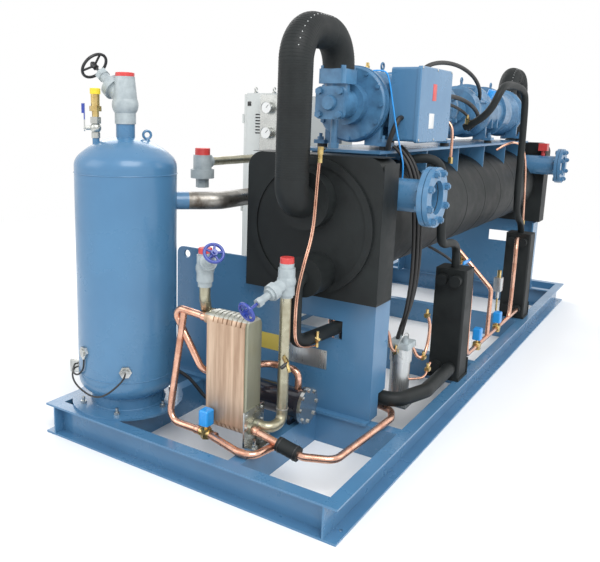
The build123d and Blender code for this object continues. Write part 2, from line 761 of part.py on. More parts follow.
arm = arm_plane * extrude(Pos(50, 0) * SlotOverall(134, 18), amount=5)
bend = arm_plane * Pos(92, 0, 5) * Box(46, 18, 10, align=(Align.CENTER, Align.CENTER, Align.MIN))
keep("relief_lever", lever + arm + bend)


# ---------------------------------------------------------------- oil cooler and its valves
cooler_x = (217.0, 334.0)
cooler_y = (597.0, 800.0)
cooler_z = (197.0, 757.0)
cooler_corner = 45.0
cooler_cover = 14.0


def rounded_slab(x, y, z, corner):
    """Upright slab across Y with its XZ corners rounded."""
    slab = block(x, y, z)
    return fillet(slab.edges().filter_by(Axis.Y), corner)


def plate_exchanger():
    """Brazed plate stack with thicker cover plates and round port necks on both covers."""
    stack = rounded_slab(cooler_x, cooler_y, cooler_z, cooler_corner)
    grooves = []
    count = 8
    pitch = (cooler_y[1] - cooler_y[0]) / count
    for index in range(1, count):
        y = cooler_y[0] + index * pitch
        outer = rounded_slab(cooler_x, (y - 3, y + 3), cooler_z, cooler_corner)
        inner = rounded_slab((cooler_x[0] + 5, cooler_x[1] - 5), (y - 3, y + 3),
                             (cooler_z[0] + 5, cooler_z[1] - 5), cooler_corner - 5)
        grooves.append(outer - inner)
    for groove in grooves:
        stack -= groove
    right = rounded_slab((cooler_x[0] + 4, cooler_x[1] - 4), (cooler_y[0] - cooler_cover, cooler_y[0]),
                         (cooler_z[0] + 4, cooler_z[1] - 4), cooler_corner - 4)
    left = rounded_slab((cooler_x[0] + 4, cooler_x[1] - 4), (cooler_y[1], cooler_y[1] + cooler_cover),
                        (cooler_z[0] + 4, cooler_z[1] - 4), cooler_corner - 4)
    body = stack + right + left
    for x, z in ((front_port_x, top_port_z), (rear_port_x, top_port_z)):
        body += bar((x, cooler_y[1], z), (x, cooler_y[1] + 34, z), 26)
    for x, z in ((front_port_x, bottom_port_z), (rear_port_x, bottom_port_z)):
        body += bar((x, cooler_y[0], z), (x, cooler_y[0] - 34, z), 26)
    return body


front_port_x = cooler_x[0] + 31
rear_port_x = cooler_x[1] - 31
top_port_z = cooler_z[1] - 38
bottom_port_z = cooler_z[0] + 38
cooler = plate_exchanger()
keep("oil_cooler", cooler)

bracket_y = cooler_y[0] - cooler_cover - 8
bracket = block((cooler_x[0] - 22, cooler_x[1] + 22), (bracket_y, bracket_y + 8), (channel_height, 330))
bracket += block((cooler_x[0] - 22, cooler_x[1] + 22), (bearer_y[0] + 2, bracket_y + 8),
                 (channel_height, channel_height + 8))
for x in (cooler_x[0], cooler_x[1]):
    bracket += bar((x, bearer_y[0] + 30, channel_height), (x, bearer_y[0] + 30, channel_height + 46), 8)
    bracket += hexagon_bar((x, bearer_y[0] + 30, channel_height + 8),
                           (x, bearer_y[0] + 30, channel_height + 22), 26)
for x in (front_port_x, rear_port_x):
    bracket -= bar((x, bracket_y - 1, bottom_port_z), (x, bracket_y + 9, bottom_port_z), 26 + seat_gap)
keep("cooler_bracket", bracket)

upper_valve = (254.0, 853.0, 949.0)
upper_direction = (-0.5, -0.66, 0.56)
lower_valve = (405.0, 506.0, 912.0)
lower_direction = (-0.88, 0.24, -0.41)


def service_valve(bottom, top, centre, direction, bonnet_length):
    """Inline valve body with end sockets and an angled bonnet."""
    body = bar((centre[0], centre[1], bottom), (centre[0], centre[1], top), 33)
    body += Pos(*centre) * Sphere(44)
    body += bar((centre[0], centre[1], centre[2] - 62), (centre[0], centre[1], centre[2] + 62), 39)
    return body + bonnet(centre, direction, 40, bonnet_length)


upper_body = service_valve(862, 1018, upper_valve, upper_direction, 128)
lower_body = service_valve(838, 996, lower_valve, lower_direction, 190)
keep("upper_wheel", handwheel(upper_valve, upper_direction, 175, 50, 5, 128))
keep("lower_wheel", handwheel(lower_valve, lower_direction, 255, 50, 5, 190))

# angle valve behind the near end box
angle_x, angle_y = 785.0, 1290.0
liquid_feed_x = 1420.0
angle_body = bar((angle_x, angle_y, 1298), (angle_x, angle_y, 1423), 50)
angle_body += bar((angle_x, angle_y, 1298), (angle_x, angle_y, 1345), 64)
angle_body += hexagon_bar((angle_x, angle_y, 1247), (angle_x, angle_y, 1298), 62)
angle_pipe = pipe(
    [(angle_x + 64, angle_y, 1385), (liquid_feed_x, angle_y, 1385), (liquid_feed_x, angle_y, 700),
     (liquid_feed_x, evaporator_y, 700), (liquid_feed_x, evaporator_y, evaporator_z - foam_radius)],
    24.0, [80.0, 80.0, 80.0])
angle_body += bar((angle_x, angle_y, 1385), (angle_x + 64, angle_y, 1385), 34)
keep("service_valves", upper_body, lower_body, angle_body)


# ---------------------------------------------------------------- caps and plugs of open ends
def cap(base, top, radius):
    """Push-on protective cap with a rounded end."""
    body = bar((base[0], base[1], base[2]), (base[0], base[1], top), radius)
    return fillet(body.edges().filter_by(GeomType.CIRCLE).group_by(Axis.Z)[-1], 4)


caps = [
    cap((tank_x, tank_y, 1808), 1827, 46) - stop_body,
    cap((relief_x, relief_y, 1721), 1749, 25),
    cap((angle_x, angle_y, 1423), 1460, 41),
    cap((upper_valve[0], upper_valve[1], 1018), 1044, 32),
    cap((lower_valve[0], lower_valve[1], 996), 1023, 32),
]
keep("protective_caps", *caps)


# ---------------------------------------------------------------- steel oil pipes
upper_pipe = pipe(
    [(upper_valve[0], upper_valve[1], 862), (upper_valve[0], upper_valve[1], 812),
     (rear_port_x, cooler_y[1] + 78, top_port_z), (rear_port_x, cooler_y[1] + 34, top_port_z)],
    26.0, [30.0, 30.0])
lower_pipe = pipe(
    [(lower_valve[0], lower_valve[1], 838), (lower_valve[0], lower_valve[1], bottom_port_z),
     (rear_port_x, lower_valve[1], bottom_port_z), (rear_port_x, cooler_y[0] - 34, bottom_port_z)],
    26.0, [42.0, 42.0])
keep("steel_pipes", upper_pipe, lower_pipe, angle_pipe)


# ---------------------------------------------------------------- copper oil lines
drier_x = 575.0
drier_z = 262.0
copper_radius = 17.5
floor_line_z = 182.0
solenoid_at = (182.0, 781.0, floor_line_z)
tee_y = 972.0

port_line = pipe(
    [(front_port_x, cooler_y[1] + 34, top_port_z), (front_port_x, 1046, top_port_z + 18),
     (front_port_x + 4, 946, 580), (front_port_x + 12, 862, 440), (575, 690, 430), (575, 520, 430),
     (575, 520, drier_z + 74)],
    copper_radius, [34.0, 60.0, 60.0, 90.0, 44.0])
tee_line = pipe(
    [(front_port_x, tee_y, top_port_z), (205, 1004, 320), (190, 1012, floor_line_z),
     (186, solenoid_at[1] + 32, floor_line_z)],
    copper_radius, [60.0, 60.0])
return_line = pipe(
    [(solenoid_at[0] - 8, solenoid_at[1] - 32, floor_line_z), (118, 560, floor_line_z),
     (122, 478, floor_line_z), (front_port_x - 30, 462, floor_line_z), (front_port_x, 455, floor_line_z)],
    copper_radius, [50.0, 50.0, 60.0])
main_line = pipe(
    [(front_port_x, cooler_y[0] - 34, bottom_port_z), (front_port_x, 470, bottom_port_z - 20),
     (front_port_x - 2, 300, floor_line_z), (304, 169, floor_line_z), (849, 139, floor_line_z),
     (940, 175, floor_line_z), (981, 300, floor_line_z), (981, evaporator_y, floor_line_z),
     (981, evaporator_y, evaporator_z - foam_radius)],
    copper_radius, [60.0, 60.0, 70.0, 90.0, 70.0, 90.0, 60.0])
copper_lines = [port_line + tee_line, main_line + return_line]


def solenoid_valve(centre, run, height):
    """Brass solenoid valve body across a line, and the blue coil on its stem."""
    run = Vector(run).normalized()
    body = bar(Vector(centre) - run * 32, Vector(centre) + run * 32, 21)
    body += hexagon_bar((centre[0], centre[1], centre[2] - 22), (centre[0], centre[1], centre[2] + 24), 46)
    stem_top = centre[2] + height
    body += bar(centre, (centre[0], centre[1], centre[2] + 45), 9)
    coil = block((centre[0] - 30, centre[0] + 30), (centre[1] - 26, centre[1] + 26),
                 (centre[2] + 45, stem_top))
    coil = fillet(coil.edges().filter_by(Axis.Z), 10)
    coil = chamfer(coil.faces().sort_by(Axis.Z)[-1].edges(), 6)
    return body, coil


rail_line_y = 80.0
rail_line_z = 235.0
solenoid_places = (
    (solenoid_at, (0.04, 1, 0)),
    ((2085.0, rail_line_y, rail_line_z), (1, 0, 0)),
    ((2555.0, rail_line_y, rail_line_z), (1, 0, 0)),
)
solenoid_bodies, solenoid_coils = [], []
for place, run in solenoid_places:
    body, coil = solenoid_valve(place, run, 118)
    solenoid_bodies.append(body)
    solenoid_coils.append(coil)
keep("solenoid_valves", *solenoid_bodies)
copper_lines = [line - solenoid_bodies[0] - cooler for line in copper_lines]
keep("solenoid_coils", *solenoid_coils)

sleeve = bar((246.8, 425, 208), (246.2, 318, 187), 34) - main_line
keep("pipe_sleeve", sleeve.solids().sort_by(SortBy.VOLUME)[-1])

# filter drier on its two feet
drier_body = bar((drier_x, 475, drier_z), (drier_x, 800, drier_z), 74)
drier_body += bar((drier_x, 475, drier_z), (drier_x, 492, drier_z), 88)
drier_body += bar((drier_x, 790, drier_z), (drier_x, 812, drier_z), 60)
for y in (540, 750):
    foot = block((drier_x - 50, drier_x + 50), (y - 8, y + 8), (channel_height, drier_z))
    drier_body += foot
drier_cover = bar((drier_x, 457, drier_z), (drier_x, 475, drier_z), 90)
for index in range(8):
    angle = 2 * pi * index / 8
    place = (drier_x + 78 * cos(angle), drier_z + 78 * sin(angle))
    drier_cover += hexagon_bar((place[0], 449, place[1]), (place[0], 457, place[1]), 18)
keep("filter_drier", drier_body + drier_cover)


# ---------------------------------------------------------------- economizers on the right rail
economizer_y = (40.0, 220.0)
economizer_z = (175.0, 815.0)
economizer_x = ((1590.0, 1745.0), (3170.0, 3325.0))
economizers, brackets = [], []
for x in economizer_x:
    body = block(x, economizer_y, economizer_z)
    body = fillet(body.edges().filter_by(Axis.Z), 12)
    for z in (economizer_z[0] + 60, economizer_z[1] - 60):
        for y in (economizer_y[0] + 50, economizer_y[1] - 50):
            body += bar((x[0] - 46, y, z), (x[0], y, z), 32)
    economizers.append(body)
    cradle = block((x[0] - 6, x[1] + 6), (economizer_y[0] - 6, economizer_y[1] + 6),
                   (channel_height, economizer_z[0]))
    cradle += block((x[1], x[1] + 6), (economizer_y[0] - 6, economizer_y[1] + 6),
                    (economizer_z[0], economizer_z[0] + 90))
    brackets.append(cradle)
keep("economizers", *economizers, *brackets)

rail_line = pipe(
    [(economizer_x[0][1] + 6, rail_line_y, rail_line_z + 60), (1800, rail_line_y, rail_line_z + 60),
     (1880, rail_line_y, rail_line_z), (2053, rail_line_y, rail_line_z)], 14.0, [50.0, 50.0])
middle_line = bar((2117, rail_line_y, rail_line_z), (2523, rail_line_y, rail_line_z), 14)
riser = pipe(
    [(2320, rail_line_y, rail_line_z), (2320, rail_line_y, 560), (2320, evaporator_y - 225, 812)],
    14.0, [60.0])
last_line = bar((2587, rail_line_y, rail_line_z), (economizer_x[1][0] - 46, rail_line_y, rail_line_z), 14)
rail_line -= solenoid_bodies[1]
last_line -= solenoid_bodies[2]
middle_line = middle_line + riser - solenoid_bodies[1] - solenoid_bodies[2]
keep("copper_lines", *copper_lines, rail_line, middle_line, last_line)

# oil filter canister
filter_body = bar((1110, 210, 195), (1110, 210, 400), 52) + bar((1110, 210, 400), (1110, 210, 500), 58)
filter_body += bar((1110, 210, channel_height + 8), (1110, 210, 195), 26)
filter_body += block((1040, 1180), (140, 280), (channel_height, channel_height + 8))
keep("oil_filter", filter_body)

# insulated liquid lines
feed_low_z = floor_line_z + copper_radius + 38.0 + 8.0
economizer_feed = pipe(
    [(near_plate_x + 140, 436, 650), (near_plate_x + 140, 436, feed_low_z), (934, 150, feed_low_z), (1149, 75, feed_low_z),
     (economizer_x[0][0] - 46, economizer_y[0] + 50, economizer_z[0] + 60)],
    38.0, [90.0, 90.0, 90.0])
drop_line = pipe(
    [(near_box_face - liquid_stub_length, liquid_stub_y, liquid_stub_z),
     (485, liquid_stub_y, liquid_stub_z), (485, liquid_stub_y, 590), (near_plate_x - 6, 436, 612),
     (near_plate_x + 140, 436, 612)],
    34.0, [56.0, 70.0, 60.0])
liquid_lines = drop_line + economizer_feed - economizers[0]
keep("liquid_lines", liquid_lines)

# flow switch on the far water nozzle
switch_z = nozzle_z + 120
switch = bar((nozzle_x[1], 200, nozzle_z + nozzle_radius), (nozzle_x[1], 200, switch_z), 17)
switch += block((nozzle_x[1] - 40, nozzle_x[1] + 40), (165, 235), (switch_z, switch_z + 62))
keep("flow_switch", switch)


# ---------------------------------------------------------------- control cabinet
cabinet_x = (1682.0, 2880.0)
cabinet_y = (1412.0, 1622.0)
cabinet_z = (channel_height, 1783.0)
cabinet_sheet = 4.0
door_thickness = 22.0
knuckle_radius = 8.0


def cabinet_box():
    """Cabinet body open to its doors, with a mounting plate, centre post and vents."""
    body = block(cabinet_x, cabinet_y, cabinet_z)
    body = fillet(body.edges().filter_by(Axis.Z).group_by(Axis.Y)[0], 8)
    inside = block((cabinet_x[0] + cabinet_sheet, cabinet_x[1] - cabinet_sheet),
                   (cabinet_y[0] + cabinet_sheet, cabinet_y[1] + 1),
                   (cabinet_z[0] + 100, cabinet_z[1] - cabinet_sheet))
    body -= inside
    post_x = mid(*cabinet_x)
    body += block((post_x - 18, post_x + 18), (cabinet_y[1] - 40, cabinet_y[1]),
                  (cabinet_z[0] + 100, cabinet_z[1] - cabinet_sheet))
    for index in range(7):
        z = 1520 + 20 * index
        body -= block((cabinet_x[0] - 1, cabinet_x[0] + cabinet_sheet + 1), (1500, 1552), (z, z + 9))
    return body


def cabinet_door(hinge_x, free_x):
    """Folded door with a rim behind its face and a hole for its latch."""
    x = sorted((hinge_x, free_x))
    y = (cabinet_y[1] + 2, cabinet_y[1] + 2 + door_thickness)
    z = (cabinet_z[0] + 108, cabinet_z[1] - 8)
    door = block((x[0] + 2, x[1] - 2), y, z)
    door = fillet(door.edges().filter_by(Axis.Z).group_by(Axis.Y)[-1], 6)
    door -= block((x[0] + 18, x[1] - 18), (y[0] - 1, y[1] - 3), (z[0] + 16, z[1] - 16))
    for z_knuckle in (z[0] + 160, mid(*z), z[1] - 160):
        door += bar((hinge_x, y[1] + 2, z_knuckle - 30), (hinge_x, y[1] + 2, z_knuckle + 30), knuckle_radius)
    inward = 1 if free_x < hinge_x else -1
    latch_x = free_x + inward * 45
    door -= bar((latch_x, y[0] - 1, latch_z), (latch_x, y[1] + 1, latch_z), 11 + stem_clearance)
    return door, latch_x, y[1]


def door_latch(x, face_y):
    """Quarter-turn latch: barrel through the door, handle outside and cam inside."""
    latch = bar((x, face_y - 22, latch_z), (x, face_y + 10, latch_z), 11)
    handle = Pos(x, face_y + 10, latch_z - 40) * Box(20, 14, 130)
    latch += fillet(handle.edges().filter_by(Axis.Y), 8)
    return latch


latch_z = 1000.0
middle_x = mid(*cabinet_x)
near_door, near_latch_x, door_face_y = cabinet_door(cabinet_x[0], middle_x)
far_door, far_latch_x, door_face_y = cabinet_door(cabinet_x[1], middle_x)
keep("cabinet", cabinet_box())
keep("near_door", near_door)
keep("far_door", far_door)
keep("near_latch", door_latch(near_latch_x, door_face_y))
keep("far_latch", door_latch(far_latch_x, door_face_y))

# gauge panel beside the cabinet
panel_x = cabinet_x[0] - 46
gauge_panel = block((panel_x, panel_x + 3), (1350, 1484), (1414, 1772))
gauge_panel += block((panel_x, cabinet_x[0] + 20), (1380, cabinet_y[0]), (1440, 1446))
gauge_panel += block((panel_x, cabinet_x[0] + 20), (1380, cabinet_y[0]), (1700, 1706))
gauges = []
for z in (1690, 1530):
    gauges.append(bar((panel_x - 34, 1417, z), (panel_x, 1417, z), 40))
keep("gauge_panel", gauge_panel, *gauges)


# ---------------------------------------------------------------- separator heaters and their leads
def around(radius, angle, z):
    """Point beside the separator at a radius and angle about its axis."""
    return Vector(tank_x + radius * cos(radians(angle)), tank_y + radius * sin(radians(angle)), z)


def heater(angle, z, reach):
    """Screwed heater cap that stands out of the separator's wall by its reach."""
    wall = bar((tank_x, tank_y, z - 60), (tank_x, tank_y, z + 60), tank_radius)
    body = bar(around(tank_radius - 20, angle, z), around(tank_radius + reach, angle, z), 19)
    body += hexagon_bar(around(tank_radius - 12, angle, z), around(tank_radius + 14, angle, z), 54)
    return (body - wall).solids().sort_by(SortBy.VOLUME)[-1]


heater_box_angle = 110.0
heater_box_z = (285.0, 355.0)
front_heater = heater(-139, 400, 34)
left_heater = heater(167, 470, 20) + bar(around(258, 167, 470), around(258, 167, 436), 8.5)
heater_box = block((tank_radius - 14, tank_radius + 60), (-45, 45), heater_box_z)
heater_box = fillet(heater_box.edges().filter_by(Axis.X), 8)
heater_box = Pos(tank_x, tank_y, 0) * (Rot(0, 0, heater_box_angle) * heater_box)
heater_box -= bar((tank_x, tank_y, 200), (tank_x, tank_y, 400), tank_radius)
left_heater -= bar((tank_x, tank_y, 400), (tank_x, tank_y, 500), tank_radius)
keep("separator_heaters", front_heater, left_heater, heater_box)


def lead(points, radius):
    """Lead of straight runs joined by arcs as large as its runs allow."""
    bends = []
    for before, point, after in zip(points, points[1:], points[2:]):
        arriving = Vector(point) - Vector(before)
        leaving = Vector(after) - Vector(point)
        turn = arriving.get_angle(leaving)
        bends.append(0.45 * min(arriving.length, leaving.length) / tan(radians(turn / 2)))
    solid = pipe(points, radius, bends)
    run_length = sum((Vector(b) - Vector(a)).length for a, b in zip(points, points[1:]))
    print("lead radii", [round(bend) for bend in bends], "runs", round(run_length),
          "volume over section", round(solid.volume / (pi * radius ** 2)))
    return solid


lead_radius = 4.5
front_route = (
    (284, -139, 400), (314, -139, 400), (344, -141, 388), (361, -146, 360), (356, -152, 328),
    (338, -159, 302), (316, -167, 288), (297, -176, 282), (287, 175, 284), (284, 166, 290),
    (284, 157, 298), (284, 148, 306), (284, 139, 312), (284, 130, 315))
left_route = (
    (258, 167, 436), (258, 167, 406), (260, 165, 378), (264, 160, 352), (270, 153, 334),
    (276, 145, 328), (280, 137, 328), (284, 129, 330))
box_side = Vector(tank_x, tank_y, 0) + Vector(tank_radius + 34, 45, 0).rotate(Axis.Z, heater_box_angle)
front_end = box_side + Vector(0, 0, 312)
left_end = box_side + Vector(0, 0, 332)
front_lead = lead([around(*place) for place in front_route] + [front_end], lead_radius)
left_lead = lead([around(*place) for place in left_route] + [left_end], lead_radius)
keep("front_heater_lead", front_lead - front_heater - heater_box)
keep("left_heater_lead", left_lead - left_heater - heater_box)


# ---------------------------------------------------------------- written pieces
os.makedirs("parts", exist_ok=True)
for name, shape in nodes.items():
    placed = shape.moved(Location((-frame_length / 2, -frame_width / 2, 0)))
    export_step(placed, f"parts/{name}.step")
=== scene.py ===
"""Finishes and fine pieces of a skid-mounted refrigeration unit with screw compressors.

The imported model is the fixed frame. This script gives each node its finish, adds weld beads,
cables, hoses, seams, plates and small fittings, and sets the floor, the lights and the camera.
"""

import logging  # noqa: E402
import math  # noqa: E402
from dataclasses import dataclass, field, replace  # noqa: E402
from enum import Enum  # noqa: E402
from typing import Sequence  # noqa: E402

import bmesh  # noqa: E402
import bpy  # noqa: E402
from mathutils import Matrix, Vector  # noqa: E402


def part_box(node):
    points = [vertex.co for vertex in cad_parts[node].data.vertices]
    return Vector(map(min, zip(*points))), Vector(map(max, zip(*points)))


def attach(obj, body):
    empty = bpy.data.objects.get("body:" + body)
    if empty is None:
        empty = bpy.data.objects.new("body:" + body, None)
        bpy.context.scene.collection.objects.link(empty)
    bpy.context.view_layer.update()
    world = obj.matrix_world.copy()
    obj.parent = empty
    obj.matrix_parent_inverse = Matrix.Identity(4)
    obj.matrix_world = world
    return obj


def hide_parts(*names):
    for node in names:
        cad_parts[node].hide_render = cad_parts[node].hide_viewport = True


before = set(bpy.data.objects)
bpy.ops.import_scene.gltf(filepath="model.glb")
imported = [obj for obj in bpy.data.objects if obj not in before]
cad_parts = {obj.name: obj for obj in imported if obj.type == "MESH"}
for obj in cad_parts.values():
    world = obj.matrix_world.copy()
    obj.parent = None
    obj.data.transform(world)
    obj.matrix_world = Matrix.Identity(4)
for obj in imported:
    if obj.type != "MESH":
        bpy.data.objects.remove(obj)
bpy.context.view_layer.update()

log = logging.getLogger("unit")
MM = 0.001
BUMP_DEPTH = 0.6 * MM
COAT_ROUGHNESS = 0.12
SHARP_ANGLE = math.radians(38)
Colour = tuple[float, float, float]


class Body(str, Enum):
    """Rigid bodies that pieces ride on."""

    SKID = "skid"
    STOP_WHEEL = "stop_valve_wheel"
    UPPER_WHEEL = "upper_wheel"
    LOWER_WHEEL = "lower_wheel"
    LEVER = "relief_lever"
    NEAR_DOOR = "near_door"
    FAR_DOOR = "far_door"
    NEAR_LATCH = "near_latch"
    FAR_LATCH = "far_latch"


class Pattern(Enum):
    """How the pattern of a finish is stretched along X, Y and Z."""

    EVEN = (1.0, 1.0, 1.0)
    STREAKED = (1.0, 1.0, 0.06)


# ------------------------------------------------------------------ places
@dataclass(frozen=True)
class Extent:
    """Box of a node in metres."""

    low: Vector
    high: Vector

    @property
    def middle(self) -> Vector:
        """Centre of the box."""
        return (self.low + self.high) / 2

    @property
    def size(self) -> Vector:
        """Edge lengths of the box."""
        return self.high - self.low


def extent(node: str) -> Extent:
    """Box of a CAD node.

    Args:
        node: Name of the node.

    Returns:
        Its extent in metres.
    """
    low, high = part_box(node)
    return Extent(Vector(low), Vector(high))


# ------------------------------------------------------------------ node groups
def group(name: str, inputs: dict[str, float], outputs: dict[str, str]) -> bpy.types.NodeTree:
    """Start a shader node group with named sockets.

    Args:
        name: Name of the group.
        inputs: Input names and defaults.
        outputs: Output names and socket types.

    Returns:
        The group's tree with its input and output nodes.
    """
    tree = bpy.data.node_groups.new(name, "ShaderNodeTree")
    tree.interface.new_socket("Vector", in_out="INPUT", socket_type="NodeSocketVector")
    for label, value in inputs.items():
        socket = tree.interface.new_socket(label, in_out="INPUT", socket_type="NodeSocketFloat")
        socket.default_value = value
    for label, kind in outputs.items():
        tree.interface.new_socket(label, in_out="OUTPUT", socket_type=kind)
    tree.nodes.new("NodeGroupInput").name = "in"
    tree.nodes.new("NodeGroupOutput").name = "out"
    return tree


def mottle_group() -> bpy.types.NodeTree:
    """Build the group that gives broad patches and fine grain.

    Returns:
        The finished group.
    """
    tree = group("Mottle", {"Patch": 6.0, "Grain": 220.0, "Contrast": 0.5},
                 {"Patches": "NodeSocketFloat", "Fine": "NodeSocketFloat"})
    start, end = tree.nodes["in"], tree.nodes["out"]
    broad = tree.nodes.new("ShaderNodeTexNoise")
    broad.inputs["Detail"].default_value = 6.0
    broad.inputs["Roughness"].default_value = 0.62
    fine = tree.nodes.new("ShaderNodeTexNoise")
    fine.inputs["Detail"].default_value = 3.0
    spread = tree.nodes.new("ShaderNodeMapRange")
    spread.inputs["From Min"].default_value = 0.36
    spread.inputs["From Max"].default_value = 0.68
    power = tree.nodes.new("ShaderNodeMath")
    power.operation = "MULTIPLY"
    tree.links.new(start.outputs["Vector"], broad.inputs["Vector"])
    tree.links.new(start.outputs["Vector"], fine.inputs["Vector"])
    tree.links.new(start.outputs["Patch"], broad.inputs["Scale"])
    tree.links.new(start.outputs["Grain"], fine.inputs["Scale"])
    tree.links.new(broad.outputs["Fac"], spread.inputs["Value"])
    tree.links.new(spread.outputs["Result"], power.inputs[0])
    tree.links.new(start.outputs["Contrast"], power.inputs[1])
    tree.links.new(power.outputs["Value"], end.inputs["Patches"])
    tree.links.new(fine.outputs["Fac"], end.inputs["Fine"])
    return tree


@dataclass(frozen=True)
class Zone:
    """Part of a node between two levels along an axis, in another colour and metal."""

    axis: str
    low: float
    high: float
    colour: Colour
    metallic: float

    def mask(self, tree: bpy.types.NodeTree, place: bpy.types.NodeSocket) -> bpy.types.NodeSocket:
        """Build the mask that is 1 between the two levels.

        Args:
            tree: The material's tree.
            place: Object coordinates.

        Returns:
            The mask's socket.
        """
        split = tree.nodes.new("ShaderNodeSeparateXYZ")
        tree.links.new(place, split.inputs["Vector"])
        over = tree.nodes.new("ShaderNodeMath")
        over.operation = "GREATER_THAN"
        over.inputs[1].default_value = self.low
        under = tree.nodes.new("ShaderNodeMath")
        under.operation = "LESS_THAN"
        under.inputs[1].default_value = self.high
        both = tree.nodes.new("ShaderNodeMath")
        both.operation = "MULTIPLY"
        tree.links.new(split.outputs[self.axis], over.inputs[0])
        tree.links.new(split.outputs[self.axis], under.inputs[0])
        tree.links.new(over.outputs["Value"], both.inputs[0])
        tree.links.new(under.outputs["Value"], both.inputs[1])
        return both.outputs["Value"]


@dataclass(frozen=True)
class Finish:
    """A painted, cast, metal, rubber or plastic surface."""

    name: str
    colour: Colour
    tint: Colour
    roughness: float
    metallic: float = 0.0
    coat: float = 0.0
    bump: float = 0.15
    grain: float = 220.0
    patch: float = 6.0
    contrast: float = 0.5
    spread: float = 0.12
    specular: float = 0.5
    pattern: Pattern = Pattern.EVEN
    zones: tuple[Zone, ...] = ()

    def build(self, mottle: bpy.types.NodeTree) -> bpy.types.Material:
        """Make the material of this finish.

        Args:
            mottle: Shared group of patches and grain.

        Returns:
            The material.
        """
        material = bpy.data.materials.new(self.name)
        material.use_nodes = True
        tree = material.node_tree
        shader = tree.nodes["Principled BSDF"]
        place = tree.nodes.new("ShaderNodeTexCoord")
        mapping = tree.nodes.new("ShaderNodeMapping")
        mapping.inputs["Scale"].default_value = self.pattern.value
        worn = tree.nodes.new("ShaderNodeGroup")
        worn.node_tree = mottle
        worn.inputs["Patch"].default_value = self.patch
        worn.inputs["Grain"].default_value = self.grain
        worn.inputs["Contrast"].default_value = self.contrast
        blend = tree.nodes.new("ShaderNodeMix")
        blend.data_type = "RGBA"
        blend.inputs["A"].default_value = (*self.colour, 1.0)
        blend.inputs["B"].default_value = (*self.tint, 1.0)
        rough = tree.nodes.new("ShaderNodeMapRange")
        rough.inputs["To Min"].default_value = max(0.02, self.roughness - self.spread)
        rough.inputs["To Max"].default_value = min(1.0, self.roughness + self.spread)
        bump = tree.nodes.new("ShaderNodeBump")
        bump.inputs["Strength"].default_value = self.bump
        bump.inputs["Distance"].default_value = BUMP_DEPTH
        shader.inputs["Metallic"].default_value = self.metallic
        shader.inputs["Specular IOR Level"].default_value = self.specular
        shader.inputs["Coat Weight"].default_value = self.coat
        shader.inputs["Coat Roughness"].default_value = COAT_ROUGHNESS
        links = tree.links
        links.new(place.outputs["Object"], mapping.inputs["Vector"])
        links.new(mapping.outputs["Vector"], worn.inputs["Vector"])
        links.new(worn.outputs["Patches"], blend.inputs["Factor"])
        colour = blend.outputs["Result"]
        metal: bpy.types.NodeSocket | None = None
        for zone in self.zones:
            mask = zone.mask(tree, place.outputs["Object"])
            over = tree.nodes.new("ShaderNodeMix")
            over.data_type = "RGBA"
            over.inputs["B"].default_value = (*zone.colour, 1.0)
            links.new(mask, over.inputs["Factor"])
            links.new(colour, over.inputs["A"])
            colour = over.outputs["Result"]
            level = tree.nodes.new("ShaderNodeMix")
            level.inputs["A"].default_value = self.metallic
            level.inputs["B"].default_value = zone.metallic
            links.new(mask, level.inputs["Factor"])
            if metal:
                links.new(metal, level.inputs["A"])
            metal = level.outputs["Result"]
        if metal:
            links.new(metal, shader.inputs["Metallic"])
        links.new(colour, shader.inputs["Base Color"])
        links.new(worn.outputs["Patches"], rough.inputs["Value"])
        links.new(rough.outputs["Result"], shader.inputs["Roughness"])
        links.new(worn.outputs["Fine"], bump.inputs["Height"])
        links.new(bump.outputs["Normal"], shader.inputs["Normal"])
        return material


BLUE = Finish("machine_blue_paint", (0.072, 0.196, 0.345), (0.056, 0.155, 0.285), 0.36, coat=0.25,
              contrast=0.55, patch=3.0)
CASTING = Finish("painted_casting", (0.072, 0.200, 0.350), (0.034, 0.098, 0.185), 0.42, coat=0.2, bump=0.7,
                 grain=160.0, patch=16.0, contrast=0.75)
FOAM = Finish("closed_cell_foam", (0.008, 0.010, 0.0105), (0.017, 0.021, 0.021), 0.60, bump=0.5,
              grain=90.0, patch=7.0, contrast=0.8, specular=0.3)
STEEL = Finish("zinc_plated_steel", (0.55, 0.56, 0.54), (0.36, 0.37, 0.36), 0.32, metallic=1.0,
               patch=30.0, contrast=0.8)
PIPE_STEEL = Finish("passivated_pipe", (0.47, 0.45, 0.34), (0.30, 0.27, 0.18), 0.34, metallic=0.85,
                    patch=14.0, contrast=0.9)
WELDED = Finish("heat_tinted_pipe", (0.42, 0.41, 0.38), (0.13, 0.11, 0.09), 0.38, metallic=0.85,
                patch=9.0, contrast=1.0)
COPPER = Finish("copper_tube", (0.83, 0.50, 0.37), (0.48, 0.22, 0.14), 0.27, metallic=0.9,
                patch=13.0, contrast=0.85)
BRASS = Finish("brass_fitting", (0.74, 0.57, 0.25), (0.42, 0.27, 0.09), 0.30, metallic=0.95,
               patch=40.0, contrast=0.8)
VALVE_GREY = Finish("grey_valve_paint", (0.40, 0.45, 0.46), (0.24, 0.28, 0.30), 0.46, bump=0.6,
                    grain=180.0, patch=22.0, contrast=0.7)
CABINET = Finish("powder_coated_sheet", (0.60, 0.62, 0.60), (0.52, 0.54, 0.52), 0.48, bump=0.4,
                 grain=420.0, patch=2.5)
WHEEL_BLUE = Finish("blue_wheel_enamel", (0.030, 0.060, 0.330), (0.020, 0.035, 0.200), 0.3, coat=0.4)
BLACK = Finish("black_moulding", (0.014, 0.014, 0.015), (0.035, 0.035, 0.036), 0.38, contrast=0.6)
BLACK_ENAMEL = Finish("black_enamel", (0.012, 0.013, 0.020), (0.030, 0.032, 0.045), 0.22, coat=0.5)
